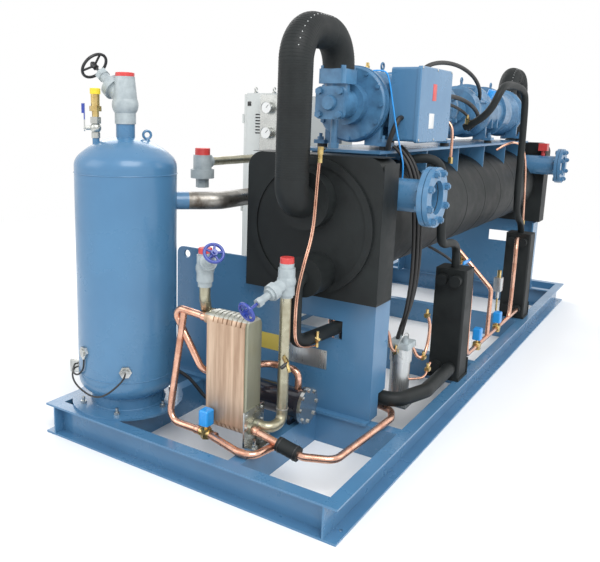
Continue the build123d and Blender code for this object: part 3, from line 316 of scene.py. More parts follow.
COIL = Finish("blue_coil_moulding", (0.020, 0.300, 0.740), (0.015, 0.220, 0.580), 0.36, coat=0.2)
RED = Finish("red_plastic", (0.620, 0.060, 0.055), (0.420, 0.035, 0.035), 0.4, coat=0.1)
YELLOW = Finish("yellow_sheet", (0.640, 0.500, 0.080), (0.480, 0.380, 0.100), 0.5)
WHITE = Finish("white_sheet", (0.70, 0.71, 0.70), (0.60, 0.61, 0.60), 0.5)
SILVER = Finish("bare_aluminium_plate", (0.56, 0.58, 0.58), (0.42, 0.44, 0.45), 0.36, metallic=0.8,
                pattern=Pattern.STREAKED, patch=60.0)
RUBBER = Finish("black_rubber", (0.012, 0.012, 0.012), (0.028, 0.028, 0.028), 0.6, grain=300.0)
PLATE_COPPER = Finish("brazed_plate_edges", (0.64, 0.47, 0.34), (0.34, 0.215, 0.14), 0.44, metallic=0.55,
                      patch=26.0, contrast=1.0, bump=0.8, grain=140.0, pattern=Pattern.STREAKED)
DIAL = Finish("dial_face", (0.80, 0.80, 0.78), (0.74, 0.74, 0.72), 0.25, coat=0.8)


COOLER_PLATES = replace(PLATE_COPPER, name="brazed_plate_stack", zones=(
    Zone("Y", -1.0, -0.2425, (0.33, 0.33, 0.25), 0.8), Zone("Z", 0.738, 1.0, (0.50, 0.50, 0.45), 0.85)))
CAPS = replace(RED, name="protective_cap_plastic", zones=(
    Zone("Z", 1.70, 1.77, (0.75, 0.58, 0.03), 0.0),))
SAFETY = replace(BRASS, name="relief_valve_metal", zones=(
    Zone("Z", 1.40, 1.614, (0.52, 0.53, 0.50), 0.9),))
LEVER_GRIP = replace(WHEEL_BLUE, name="ball_valve_lever", zones=(
    Zone("Z", 1.40, 1.60, (0.55, 0.56, 0.54), 0.9),))
DRIER = replace(BLACK_ENAMEL, name="filter_drier_enamel", zones=(
    Zone("Y", -0.40, -0.364, (0.50, 0.51, 0.50), 0.9),))


class Paintbox:
    """Materials by finish, each made once."""

    def __init__(self) -> None:
        """Build the shared group."""
        self.mottle = mottle_group()
        self.made: dict[str, bpy.types.Material] = {}

    def get(self, finish: Finish) -> bpy.types.Material:
        """Material of a finish.

        Args:
            finish: The finish wanted.

        Returns:
            Its material.
        """
        if finish.name not in self.made:
            self.made[finish.name] = finish.build(self.mottle)
        return self.made[finish.name]


PAINT = Paintbox()


# ------------------------------------------------------------------ workshop
def standing(start: Vector, end: Vector) -> Matrix:
    """Matrix that puts a piece made along Z between two points.

    Args:
        start: Point for the piece's middle minus half its length.
        end: Point for the other end.

    Returns:
        The placement matrix, at the middle of the two points.
    """
    turn = (end - start).to_track_quat("Z", "Y").to_matrix().to_4x4()
    return Matrix.Translation((start + end) / 2) @ turn


def edges_of(verts: Sequence[bmesh.types.BMVert]) -> list[bmesh.types.BMEdge]:
    """Edges that meet some vertices, each once and always in the same order.

    Args:
        verts: The vertices.

    Returns:
        Their edges.
    """
    return list(dict.fromkeys(edge for vert in verts for edge in vert.link_edges))


class Piece:
    """One mesh piece being built in place, in metres."""

    def __init__(self, name: str) -> None:
        """Start an empty piece.

        Args:
            name: The piece's name.
        """
        self.name = name
        self.mesh = bmesh.new()

    def rod(self, start: Sequence[float], end: Sequence[float], radius: float, tip: float | None = None,
            sides: int = 24, bevel: float = 0.0) -> "Piece":
        """Add a round or many-sided bar between two points.

        Args:
            start: First end.
            end: Second end.
            radius: Radius at the first end.
            tip: Radius at the second end, or the same.
            sides: Number of sides.
            bevel: Width of the rounded rim.

        Returns:
            The piece.
        """
        start, end = Vector(start), Vector(end)
        made = bmesh.ops.create_cone(
            self.mesh, cap_ends=True, segments=sides, radius1=radius,
            radius2=radius if tip is None else tip, depth=(end - start).length,
            matrix=standing(start, end))
        if bevel:
            rims = [e for e in edges_of(made["verts"]) if any(len(f.verts) > 4 for f in e.link_faces)]
            bmesh.ops.bevel(self.mesh, geom=rims, offset=bevel, segments=2, profile=0.5,
                            affect="EDGES", material=-1)
        return self

    def block(self, low: Sequence[float], high: Sequence[float], bevel: float = 0.0) -> "Piece":
        """Add a bevelled block between two corners.

        Args:
            low: Lowest corner.
            high: Highest corner.
            bevel: Width of its rounded edges.

        Returns:
            The piece.
        """
        low, high = Vector(low), Vector(high)
        size = high - low
        place = Matrix.Translation((low + high) / 2) @ Matrix.Diagonal((*size, 1.0))
        made = bmesh.ops.create_cube(self.mesh, size=1.0, matrix=place)
        if bevel:
            bmesh.ops.bevel(self.mesh, geom=edges_of(made["verts"]), offset=bevel, segments=2, profile=0.5,
                            affect="EDGES", material=-1)
        return self

    def bead(self, centre: Sequence[float], axis: Sequence[float], radius: float, thickness: float,
             steps: int = 64, sides: int = 8) -> "Piece":
        """Add a weld bead or ring about an axis.

        Args:
            centre: Middle of the ring.
            axis: Its axis.
            radius: Ring radius.
            thickness: Radius of its section.
            steps: Steps round the ring.
            sides: Sides of its section.

        Returns:
            The piece.
        """
        centre, axis = Vector(centre), Vector(axis).normalized()
        side = axis.orthogonal().normalized()
        turn = Matrix((side, axis, side.cross(axis))).transposed().to_4x4()
        place = Matrix.Translation(centre + side * radius) @ turn
        ring = bmesh.new()
        made = bmesh.ops.create_circle(ring, segments=sides, radius=thickness, matrix=place)
        bmesh.ops.spin(ring, geom=made["verts"] + edges_of(made["verts"]), cent=centre, axis=axis,
                       angle=2 * math.pi, steps=steps, use_merge=True)
        data = bpy.data.meshes.new("ring")
        ring.to_mesh(data)
        ring.free()
        self.mesh.from_mesh(data)
        bpy.data.meshes.remove(data)
        return self

    def ball(self, centre: Sequence[float], radius: float) -> "Piece":
        """Add a ball.

        Args:
            centre: Its middle.
            radius: Its radius.

        Returns:
            The piece.
        """
        bmesh.ops.create_uvsphere(self.mesh, u_segments=20, v_segments=12, radius=radius,
                                  matrix=Matrix.Translation(Vector(centre)))
        return self

    def done(self, finish: Finish, body: Body, smooth: bool = True) -> bpy.types.Object:
        """Finish the piece and set it on its body.

        Args:
            finish: Its surface.
            body: The body that it rides on.
            smooth: Whether its round faces shade smoothly.

        Returns:
            The object.
        """
        bmesh.ops.recalc_face_normals(self.mesh, faces=self.mesh.faces)
        data = bpy.data.meshes.new(self.name)
        self.mesh.to_mesh(data)
        self.mesh.free()
        piece = bpy.data.objects.new(self.name, data)
        bpy.context.scene.collection.objects.link(piece)
        data.materials.append(PAINT.get(finish))
        if smooth:
            data.shade_smooth()
            data.set_sharp_from_angle(angle=SHARP_ANGLE)
        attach(piece, body.value)
        log.info("made %s", self.name)
        return piece


def curve_of(name: str, points: Sequence[Sequence[float]], radius: float) -> bpy.types.Object:
    """Round hose, cable or pipe on one smooth spline.

    Args:
        name: The piece's name.
        points: Control points in metres.
        radius: Radius of its section.

    Returns:
        The curve object.
    """
    data = bpy.data.curves.new(name, "CURVE")
    data.dimensions = "3D"
    data.bevel_depth = radius
    data.bevel_resolution = 4
    data.resolution_u = 8
    data.use_fill_caps = True
    spline = data.splines.new("NURBS")
    spline.points.add(len(points) - 1)
    for point, place in zip(spline.points, points):
        point.co = (*place, 1.0)
    spline.order_u = 3
    spline.use_endpoint_u = True
    piece = bpy.data.objects.new(name, data)
    bpy.context.scene.collection.objects.link(piece)
    return piece


def hose(name: str, points: Sequence[Sequence[float]], radius: float, finish: Finish,
         body: Body = Body.SKID) -> bpy.types.Object:
    """Held hose, cable or capillary as a mesh, with its ends inside what holds it.

    Args:
        name: The piece's name.
        points: Control points in metres.
        radius: Radius of its section.
        finish: Its surface.
        body: The body that it rides on.

    Returns:
        The mesh object.
    """
    source = curve_of(name + "_path", points, radius)
    bpy.context.view_layer.update()
    made = bpy.data.meshes.new_from_object(source.evaluated_get(bpy.context.evaluated_depsgraph_get()))
    bpy.data.objects.remove(source)
    made.name = name
    made.materials.clear()
    made.materials.append(PAINT.get(finish))
    made.shade_smooth()
    piece = bpy.data.objects.new(name, made)
    bpy.context.scene.collection.objects.link(piece)
    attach(piece, body.value)
    return piece


# ------------------------------------------------------------------ dressing of the nodes
NODE_FINISH: dict[Finish, tuple[str, ...]] = {
    BLUE: ("side_rails", "end_rails", "cross_beams", "bearer_beams", "near_support_plate",
           "far_support_plate", "evaporator_shell", "near_water_nozzle", "far_water_nozzle",
           "companion_flanges", "terminal_boxes", "compressor_saddle", "separator_vessel"),
    CASTING: ("near_compressor", "far_compressor", "motor_covers", "suction_housings", "suction_flanges",
              "compressor_bolts", "flange_bolts"),
    FOAM: ("evaporator_insulation", "near_end_box", "far_end_box", "near_suction_pipe",
           "far_suction_pipe", "liquid_lines", "pipe_sleeve", "economizers"),
    STEEL: ("cooler_bracket", "separator_heaters", "gauge_panel"),
    PIPE_STEEL: ("steel_pipes",),
    WELDED: ("discharge_header",),
    COPPER: ("copper_lines", "tube_bundle"),
    BRASS: ("solenoid_valves",),
    SAFETY: ("relief_valve",),
    VALVE_GREY: ("stop_valve", "service_valves"),
    CABINET: ("cabinet", "near_door", "far_door"),
    WHEEL_BLUE: ("upper_wheel", "lower_wheel"),
    LEVER_GRIP: ("relief_lever",),
    BLACK: ("stop_valve_wheel", "near_latch", "far_latch"),
    DRIER: ("filter_drier",),
    COIL: ("solenoid_coils",),
    RED: ("flow_switch",),
    CAPS: ("protective_caps",),
    RUBBER: ("isolators", "flange_gaskets", "front_heater_lead", "left_heater_lead"),
    SILVER: ("oil_filter",),
    COOLER_PLATES: ("oil_cooler",),
}


def dress_nodes() -> None:
    """Give every CAD node its finish."""
    for finish, nodes in NODE_FINISH.items():
        for node in nodes:
            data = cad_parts[node].data
            data.materials.clear()
            data.materials.append(PAINT.get(finish))


# ------------------------------------------------------------------ separator
@dataclass
class Separator:
    """Weld seams, foot bolts, lifting ring and heater leads of the oil separator."""

    bead: float = 5.0 * MM
    wall: float = 250.0 * MM
    skirt: float = 188.0 * MM
    foot_ring: float = 12.0 * MM
    neck: float = 48.0 * MM
    seam_low: float = 340.0 * MM
    seam_high: float = 1348.0 * MM
    seam_angle: float = 62.0
    foot_bolts: int = 6
    bolt_circle: float = 236.0 * MM
    lead_radius: float = 4.5 * MM
    box_angle: float = 110.0
    box_reach: float = 284.0 * MM
    box_side: float = 45.0 * MM
    box: Extent = field(default_factory=lambda: extent("separator_vessel"))

    def axis(self, height: float) -> Vector:
        """Point on the vessel's axis at a height above the floor."""
        return Vector((self.box.middle.x, self.box.middle.y, height))

    def around(self, radius: float, angle: float, height: float) -> Vector:
        """Point at a radius and angle about the vessel's axis.

        Args:
            radius: Distance from the axis in metres.
            angle: Angle in degrees.
            height: Height above the floor.

        Returns:
            The point.
        """
        turn = math.radians(angle)
        return self.axis(height) + Vector((math.cos(turn), math.sin(turn), 0.0)) * radius

    def build(self) -> None:
        """Make all of its pieces."""
        self.seams()
        self.studs()
        self.lifting_ring()
        self.leads()

    def seams(self) -> None:
        """Make the weld beads round the vessel, its skirt and its neck, and the one along it."""
        seams = Piece("separator_weld_seams")
        thin = self.bead * 0.6
        for height in (self.seam_low, self.seam_high):
            seams.bead(self.axis(height), (0, 0, 1), self.wall, thin, steps=96)
        seams.bead(self.axis(self.box.low.z + 66 * MM), (0, 0, 1), self.skirt - 1 * MM, self.bead, steps=96)
        seams.bead(self.axis(self.box.low.z + self.foot_ring), (0, 0, 1), self.skirt, self.bead, steps=96)
        seams.bead(self.axis(self.box.high.z - 70 * MM), (0, 0, 1), self.neck, self.bead, steps=48)
        seams.rod(self.around(self.wall, self.seam_angle, self.seam_low),
                  self.around(self.wall, self.seam_angle, self.seam_high), thin, sides=8)
        seams.done(BLUE, Body.SKID)

    def studs(self) -> None:
        """Make the foot bolts in the base ring's holes."""
        studs = Piece("separator_foot_bolts")
        for index in range(self.foot_bolts):
            angle = 360 * (index + 0.5) / self.foot_bolts
            place = self.around(self.bolt_circle, angle, self.box.low.z + self.foot_ring)
            studs.rod(place, place + Vector((0, 0, 14 * MM)), 15 * MM, sides=6)
            studs.rod(place, place + Vector((0, 0, 34 * MM)), 8 * MM, sides=16)
        studs.done(STEEL, Body.SKID, smooth=False)

    def lifting_ring(self) -> None:
        """Make the ring bolt on the upper head."""
        eye = Piece("separator_lifting_ring")
        foot = self.around(104 * MM, -45, self.box.high.z - 84 * MM)
        eye.rod(foot, foot + Vector((0, 0, 14 * MM)), 17 * MM, tip=12 * MM, sides=20)
        eye.bead(foot + Vector((0, 0, 34 * MM)), (0.6, 0.8, 0), 19 * MM, 6.5 * MM, steps=32)
        eye.done(BLUE, Body.SKID)

    def leads(self) -> None:
        """Make the two heater leads; a route has radius, angle and height about the vessel's axis."""
        front = ((284, -139, 400), (314, -139, 400), (344, -141, 388), (361, -146, 360), (356, -152, 328),
                 (338, -159, 302), (316, -167, 288), (297, -176, 282), (287, 175, 284), (284, 166, 290),
                 (284, 157, 298), (284, 148, 306), (284, 139, 312), (284, 130, 315))
        left = ((258, 167, 436), (258, 167, 406), (260, 165, 378), (264, 160, 352), (270, 153, 334),
                (276, 145, 328), (280, 137, 328), (284, 129, 330))
        turn = math.radians(self.box_angle)
        out = Vector((math.cos(turn), math.sin(turn), 0.0))
        side = Vector((-math.sin(turn), math.cos(turn), 0.0))
        for node, held, height in (("front_heater_lead", front, 312), ("left_heater_lead", left, 332)):
            end = self.axis(height * MM) + out * self.box_reach + side * self.box_side
            points = [self.around(r * MM, angle, z * MM) for r, angle, z in held] + [end]
            lead = curve_of(node.replace("_lead", "_cable"), points, self.lead_radius)
            lead.data.materials.append(PAINT.get(RUBBER))
            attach(lead, Body.SKID.value)
            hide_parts(node)
            tuple(points[0])
            route_length(points)


def route_length(points: Sequence[Vector]) -> float:
    """Length of the smooth line through a route, a little under its runs added up.

    Args:
        points: The route.

    Returns:
        The length in metres.
    """
    source = curve_of("measure", points, 0.0)
    bpy.context.view_layer.update()
    line = bpy.data.meshes.new_from_object(source.evaluated_get(bpy.context.evaluated_depsgraph_get()))
    places = [v.co.copy() for v in line.vertices]
    bpy.data.objects.remove(source)
    bpy.data.meshes.remove(line)
    return sum((b - a).length for a, b in zip(places, places[1:]))


# ------------------------------------------------------------------ datum
DATUM = extent("side_rails").low


def at(x: float, y: float, z: float) -> Vector:
    """Point in millimetres from the base frame's near right lower corner.

    Args:
        x: Distance along the base.
        y: Distance across it.
        z: Height.

    Returns:
        The point in metres in the shared frame.
    """
    return DATUM + Vector((x, y, z)) * MM


def route(*points: tuple[float, float, float]) -> list[Vector]:
    """Points of a line in millimetres from the datum.

    Args:
        points: The points.

    Returns:
        The same points in metres.
    """
    return [at(*point) for point in points]


# ------------------------------------------------------------------ suction pipes
@dataclass
class SuctionWrap:
    """Ribbed wrap and stitched seam of the two insulated suction pipes, sizes in millimetres."""

    pitch: float = 11.0
    radius: float = 76.9
    pipe: float = 78.0
    seam: float = 78.4
    rib: float = 2.3
    bend: float = 150.0
    stitch: float = 2.4
    start: float = 190.0
    near: Extent = field(default_factory=lambda: extent("near_suction_pipe"))
    far: Extent = field(default_factory=lambda: extent("far_suction_pipe"))

    def stations(self, box: Extent, mirrored: bool) -> list[tuple[Vector, Vector, Vector]]:
        """Places along the pipe's centre line.

        Args:
            box: Box of the pipe.
            mirrored: Whether the pipe faces the other way.

        Returns:
            For each place its point, its direction and the outward direction of the bend.
        """
        sign = -1.0 if mirrored else 1.0
        outer = box.high.x - self.pipe * MM if mirrored else box.low.x + self.pipe * MM
        top = box.high.z - self.pipe * MM
        reach = box.size.x - 2 * self.pipe * MM
        middle = box.middle.y
        up, along = Vector((0, 0, 1)), Vector((sign, 0, 0))
        bend = self.bend * MM
        places: list[tuple[Vector, Vector, Vector]] = []
        step = self.pitch * MM
        height = box.low.z + self.start * MM
        while height < top - bend:
            places.append((Vector((outer, middle, height)), up, -along))
            height += step
        centre = Vector((outer, middle, top - bend)) + along * bend
        turns = int(bend * math.pi / 2 / step)
        for index in range(turns + 1):
            angle = math.pi / 2 * index / turns
            outward = -along * math.cos(angle) + up * math.sin(angle)
            places.append((centre + outward * bend, up * math.cos(angle) + along * math.sin(angle), outward))
        run = reach - 2 * bend
        for index in range(1, int(run / step)):
            place = centre + up * bend + along * step * index
            places.append((place, along, up))
        centre = centre + along * run
        for index in range(turns + 1):
            angle = math.pi / 2 * index / turns
            outward = up * math.cos(angle) + along * math.sin(angle)
            places.append((centre + outward * bend, along * math.cos(angle) - up * math.sin(angle), outward))
        return places

    def build(self) -> None:
        """Make the ribs and the stitches."""
        for name, box, mirrored in (("near", self.near, False), ("far", self.far, True)):
            ribs = Piece(name + "_suction_wrap_ribs")
            seam = Piece(name + "_suction_wrap_stitches")
            places = self.stations(box, mirrored)
            for index, (place, along, outward) in enumerate(places):
                ribs.bead(place, along, self.radius * MM, self.rib * MM, steps=40, sides=6)
                if index % 2 and index > len(places) // 2:
                    side = Vector((0, -1, 0)) * 0.55 + outward * 0.83
                    seam.ball(place + side.normalized() * self.seam * MM, self.stitch * MM)
            ribs.done(FOAM, Body.SKID)
            seam.done(WHITE, Body.SKID)


# ------------------------------------------------------------------ compressors
@dataclass
class CompressorDressing:
    """Ribs, bare labels, hoses, fittings and eyes of the two compressors, sizes in millimetres.

    The second compressor is the first one turned round, so a place x on the first is at turned - x on it.
    """

    axis_y: float = 560.0
    axis_z: float = 1711.0
    casing: float = 175.0
    turned: float = 5066.0
    rib_count: int = 9
    rib_start: float = 1190.0
    rib_pitch: float = 24.0
    rib: float = 5.5
    hose: float = 13.0
    cable: float = 9.0

    def build(self) -> None:
        """Make all of its pieces."""
        self.ribs()
        self.labels()
        self.hoses()
        self.fittings()

    def ribs(self) -> None:
        """Make the cooling ribs round both motors and the lifting eyes on their casings."""
        ribs = Piece("motor_ribs")
        for index in range(self.rib_count):
            x = self.rib_start + self.rib_pitch * index
            for along in (x, self.turned - x):
                place = at(along, self.axis_y, self.axis_z)
                ribs.bead(place, (1, 0, 0), self.casing * MM, self.rib * MM, steps=72)
        ribs.done(CASTING, Body.SKID)
        eyes = Piece("compressor_lifting_eyes")
        for x in (1450.0, 2210.0, 2856.0, 3616.0):
            foot = at(x, self.axis_y, self.axis_z + self.casing - 14.0)
            eyes.rod(foot, foot + Vector((0, 0, 34 * MM)), 13 * MM, tip=9 * MM)
            eyes.bead(foot + Vector((0, 0, 52 * MM)), (0, 1, 0), 18 * MM, 6 * MM, steps=32)
        eyes.done(CASTING, Body.SKID)

    def on_lid(self, x: float, z: float, out: float, second: bool) -> Vector:
        """Point on the lid of a terminal box.

        Args:
            x: Distance along the base on the first box, in millimetres.
            z: Height in millimetres.
            out: Distance out of the lid's face in metres.
            second: Whether it is the box of the second compressor.

        Returns:
            The point in metres.
        """
        box = extent("terminal_boxes")
        along = DATUM.x + (self.turned - x if second else x) * MM
        return Vector((along, box.high.y + out if second else box.low.y - out, z * MM))

    def labels(self) -> None:
        """Make the bare badge, the bare plate and the screws of the terminal boxes."""
        badge = Piece("terminal_badge")
        plate = Piece("terminal_plate")
        screws = Piece("terminal_screws")
        for second in (False, True):
            for piece, left, right, low, high in ((badge, 1302, 1356, 1738, 1822),
                                                  (plate, 1270, 1342, 1598, 1674)):
                ends = (self.on_lid(left, low, -0.4 * MM, second), self.on_lid(right, high, 1.2 * MM, second))
                piece.block([min(end[i] for end in ends) for i in range(3)],
                            [max(end[i] for end in ends) for i in range(3)], 0.3 * MM)
            for x in (1140.0, 1354.0, 1571.0):
                for z in (1541.0, 1893.0):
                    screws.rod(self.on_lid(x, z, -1 * MM, second), self.on_lid(x, z, 3 * MM, second),
                               6.5 * MM, bevel=1.5 * MM)
        badge.done(RED, Body.SKID)
        plate.done(WHITE, Body.SKID)
        screws.done(STEEL, Body.SKID)

    def hoses(self) -> None:
        """Make the black hoses and the cables round the compressors."""
        hose("terminal_power_cable", route((1131, 300, 1648), (1100, 300, 1650), (1078, 305, 1620),
             (1070, 325, 1560), (1080, 345, 1500), (1100, 350, 1475)), 13 * MM, RUBBER)
        hose("over_arching_hose", route((1690, 470, 1840), (1720, 440, 1930), (1950, 420, 1985),
             (2300, 410, 1990), (2650, 410, 1940), (2850, 415, 1850), (2900, 440, 1760), (2900, 500, 1700)),
             self.hose * MM, RUBBER)
        hose("low_arching_hose", route((1660, 400, 1720), (1700, 320, 1770), (1900, 300, 1785),
             (2250, 300, 1750), (2500, 310, 1680), (2620, 360, 1620), (2640, 420, 1580)),
             self.hose * MM, RUBBER)
        hose("second_low_hose", route((1660, 410, 1690), (1720, 350, 1730), (1900, 330, 1742),
             (2220, 330, 1700), (2450, 345, 1640), (2560, 390, 1580)), self.cable * MM, RUBBER)
        hose("motor_sensor_cable", route((1020, 420, 1872), (1050, 372, 1880), (1062, 350, 1840),
             (1066, 322, 1700), (1068, 300, 1600), (1062, 270, 1500), (1050, 236, 1400), (1052, 250, 1290)),
             4.0 * MM, COIL)
        for index, (x, y) in enumerate(((1118, 238), (1142, 226), (1172, 240), (1200, 232))):
            hose(f"downward_cable_{index}", route((x, y + 90, 1506), (x, y, 1440), (x - 8, y - 46, 1200),
                 (x - 4, y - 58, 900), (x + 6 - 9 * index, y - 40, 700), (x - 34 * index + 30, y - 6, 560),
                 (x - 44 * index + 40, y + 10, 470)), self.cable * MM, RUBBER)

    def fittings(self) -> None:
        """Make the brass fittings, plugs and the blue coil on the castings."""
        brass = Piece("compressor_brass_fittings")
        for x, y, z, up in ((1255, 560, 1888, 42), (1700, 470, 1868, 38), (2150, 520, 1850, 34),
                            (2310, 330, 1620, 60), (2890, 520, 1690, 30)):
            brass.rod(at(x, y, z), at(x, y, z + up * 0.6), 13 * MM, sides=6)
            brass.rod(at(x, y, z + up * 0.5), at(x, y, z + up), 9 * MM)
        brass.done(BRASS, Body.SKID, smooth=False)
        coil = Piece("capacity_coils")
        for x in (1860, 1930, 3100, 3170):
            coil.rod(at(x, 430, 1800), at(x, 404, 1868), 24 * MM, bevel=4 * MM)
        coil.done(COIL, Body.SKID)
        plugs = Piece("casting_plugs")
        for x in (1700, 1800, 2000, 2140):
            for z in (1640, 1780):
                plugs.rod(at(x, 372, z), at(x, 345, z), 15 * MM, sides=6)
                plugs.rod(at(self.turned - x, 748, z), at(self.turned - x, 775, z), 15 * MM, sides=6)
        plugs.done(CASTING, Body.SKID, smooth=False)


# ------------------------------------------------------------------ evaporator
@dataclass
class EvaporatorDressing:
    """Foam seams, tape, insulated risers and copper lines of the evaporator, sizes in millimetres."""

    foam: float = 298.0
    axis_y: float = 560.0
    axis_z: float = 1111.0
    seam_start: int = 1010
    seam_pitch: int = 410
    seam_count: int = 8
    riser: float = 24.0
    capillary: float = 4.0
    drop: float = 8.0

    def build(self) -> None:
        """Make all of its pieces."""
        self.seams()
        self.tape()
        self.risers()
        self.capillaries()
        self.drops()

    def seams(self) -> None:
        """Make the joints between the foam sheets round the shell."""
        seams = Piece("foam_seams")
        for index in range(self.seam_count):
            place = at(self.seam_start + self.seam_pitch * index, self.axis_y, self.axis_z)
            seams.bead(place, (1, 0, 0), self.foam * MM, 2.0 * MM, steps=120)
        seams.done(FOAM, Body.SKID)

    def tape(self) -> None:
        """Make the tape over the joints of the near end box."""
        box = extent("near_end_box")
        tape = Piece("end_box_tape")
        for low, high in (((702, 190.8, 790), (876, 192.4, 1440)), ((716, 208, 1466), (862, 912, 1468.2))):
            tape.block(at(*low), at(*high), 0.5 * MM)
        tape.bead(Vector((DATUM.x + 697 * MM, box.middle.y, DATUM.z + 1122 * MM)), (1, 0, 0), 305 * MM,
                  4 * MM, steps=120)
        tape.done(FOAM, Body.SKID)

    def risers(self) -> None:
        """Make the two insulated lines that rise from the economizers."""
        hose("near_insulated_riser", route((1240, 330, 1420), (1262, 240, 1452), (1290, 160, 1440),
             (1322, 130, 1380), (1340, 126, 1200), (1350, 126, 1030), (1400, 126, 985), (1560, 128, 975),
             (1650, 130, 940), (1667, 130, 860), (1667, 130, 806)), self.riser * MM, FOAM)
        hose("far_insulated_riser", route((2330, 350, 1600), (2316, 260, 1640), (2312, 180, 1720),
             (2322, 140, 1830), (2420, 130, 1878), (2800, 130, 1872), (2950, 130, 1830), (2984, 130, 1650),
             (3000, 130, 1200), (3020, 130, 1010), (3120, 130, 930), (3230, 130, 880), (3247, 130, 806)),
             self.riser * MM, FOAM)

    def capillaries(self) -> None:
        """Make the pair of capillaries in front of the near end box, and their fittings."""
        for index, shift in enumerate((0.0, 9.0)):
            hose(f"copper_capillary_{index}", route((566, 444 + shift, 1486), (560, 446 + shift, 1430),
                 (556, 450 + shift, 1300), (545, 452 + shift, 1120), (480, 458 + shift, 980),
                 (438, 464 + shift, 860), (432, 466 + shift, 700), (440, 462 + shift, 610),
                 (520, 452 + shift, 572), (600, 448, 566)), self.capillary * MM, COPPER)
        brass = Piece("capillary_fittings")
        brass.rod(at(566, 448, 1440), at(566, 448, 1478), 11 * MM, sides=6)
        brass.rod(at(566, 448, 1478), at(566, 448, 1512), 15 * MM, sides=6)
        brass.rod(at(566, 448, 1500), at(640, 470, 1500), 8 * MM)
        brass.rod(at(600, 466, 612), at(600, 428, 590), 14 * MM, sides=6)
        brass.rod(at(600, 440, 560), at(600, 440, 640), 8 * MM)
        brass.rod(at(1652, 205, 1404), at(1652, 205, 1440), 14 * MM, sides=6)
        brass.rod(at(3286, 132, 868), at(3286, 132, 904), 13 * MM, sides=6)
        brass.done(BRASS, Body.SKID, smooth=False)

    def drops(self) -> None:
        """Make the thin lines that drop beside the shell."""
        hose("near_copper_drop", route((1640, 350, 1640), (1655, 270, 1650), (1664, 214, 1620),
             (1658, 205, 1520), (1652, 205, 1430)), self.drop * MM, COPPER)
        hose("far_copper_drop", route((2930, 290, 1440), (2970, 220, 1500), (3080, 160, 1490),
             (3180, 140, 1400), (3240, 134, 1200), (3286, 132, 890)), self.drop * MM, COPPER)
        hose("far_black_hose", route((2010, 420, 850), (2100, 300, 780), (2220, 240, 640), (2260, 220, 420),
             (2250, 230, 230)), 9 * MM, RUBBER)


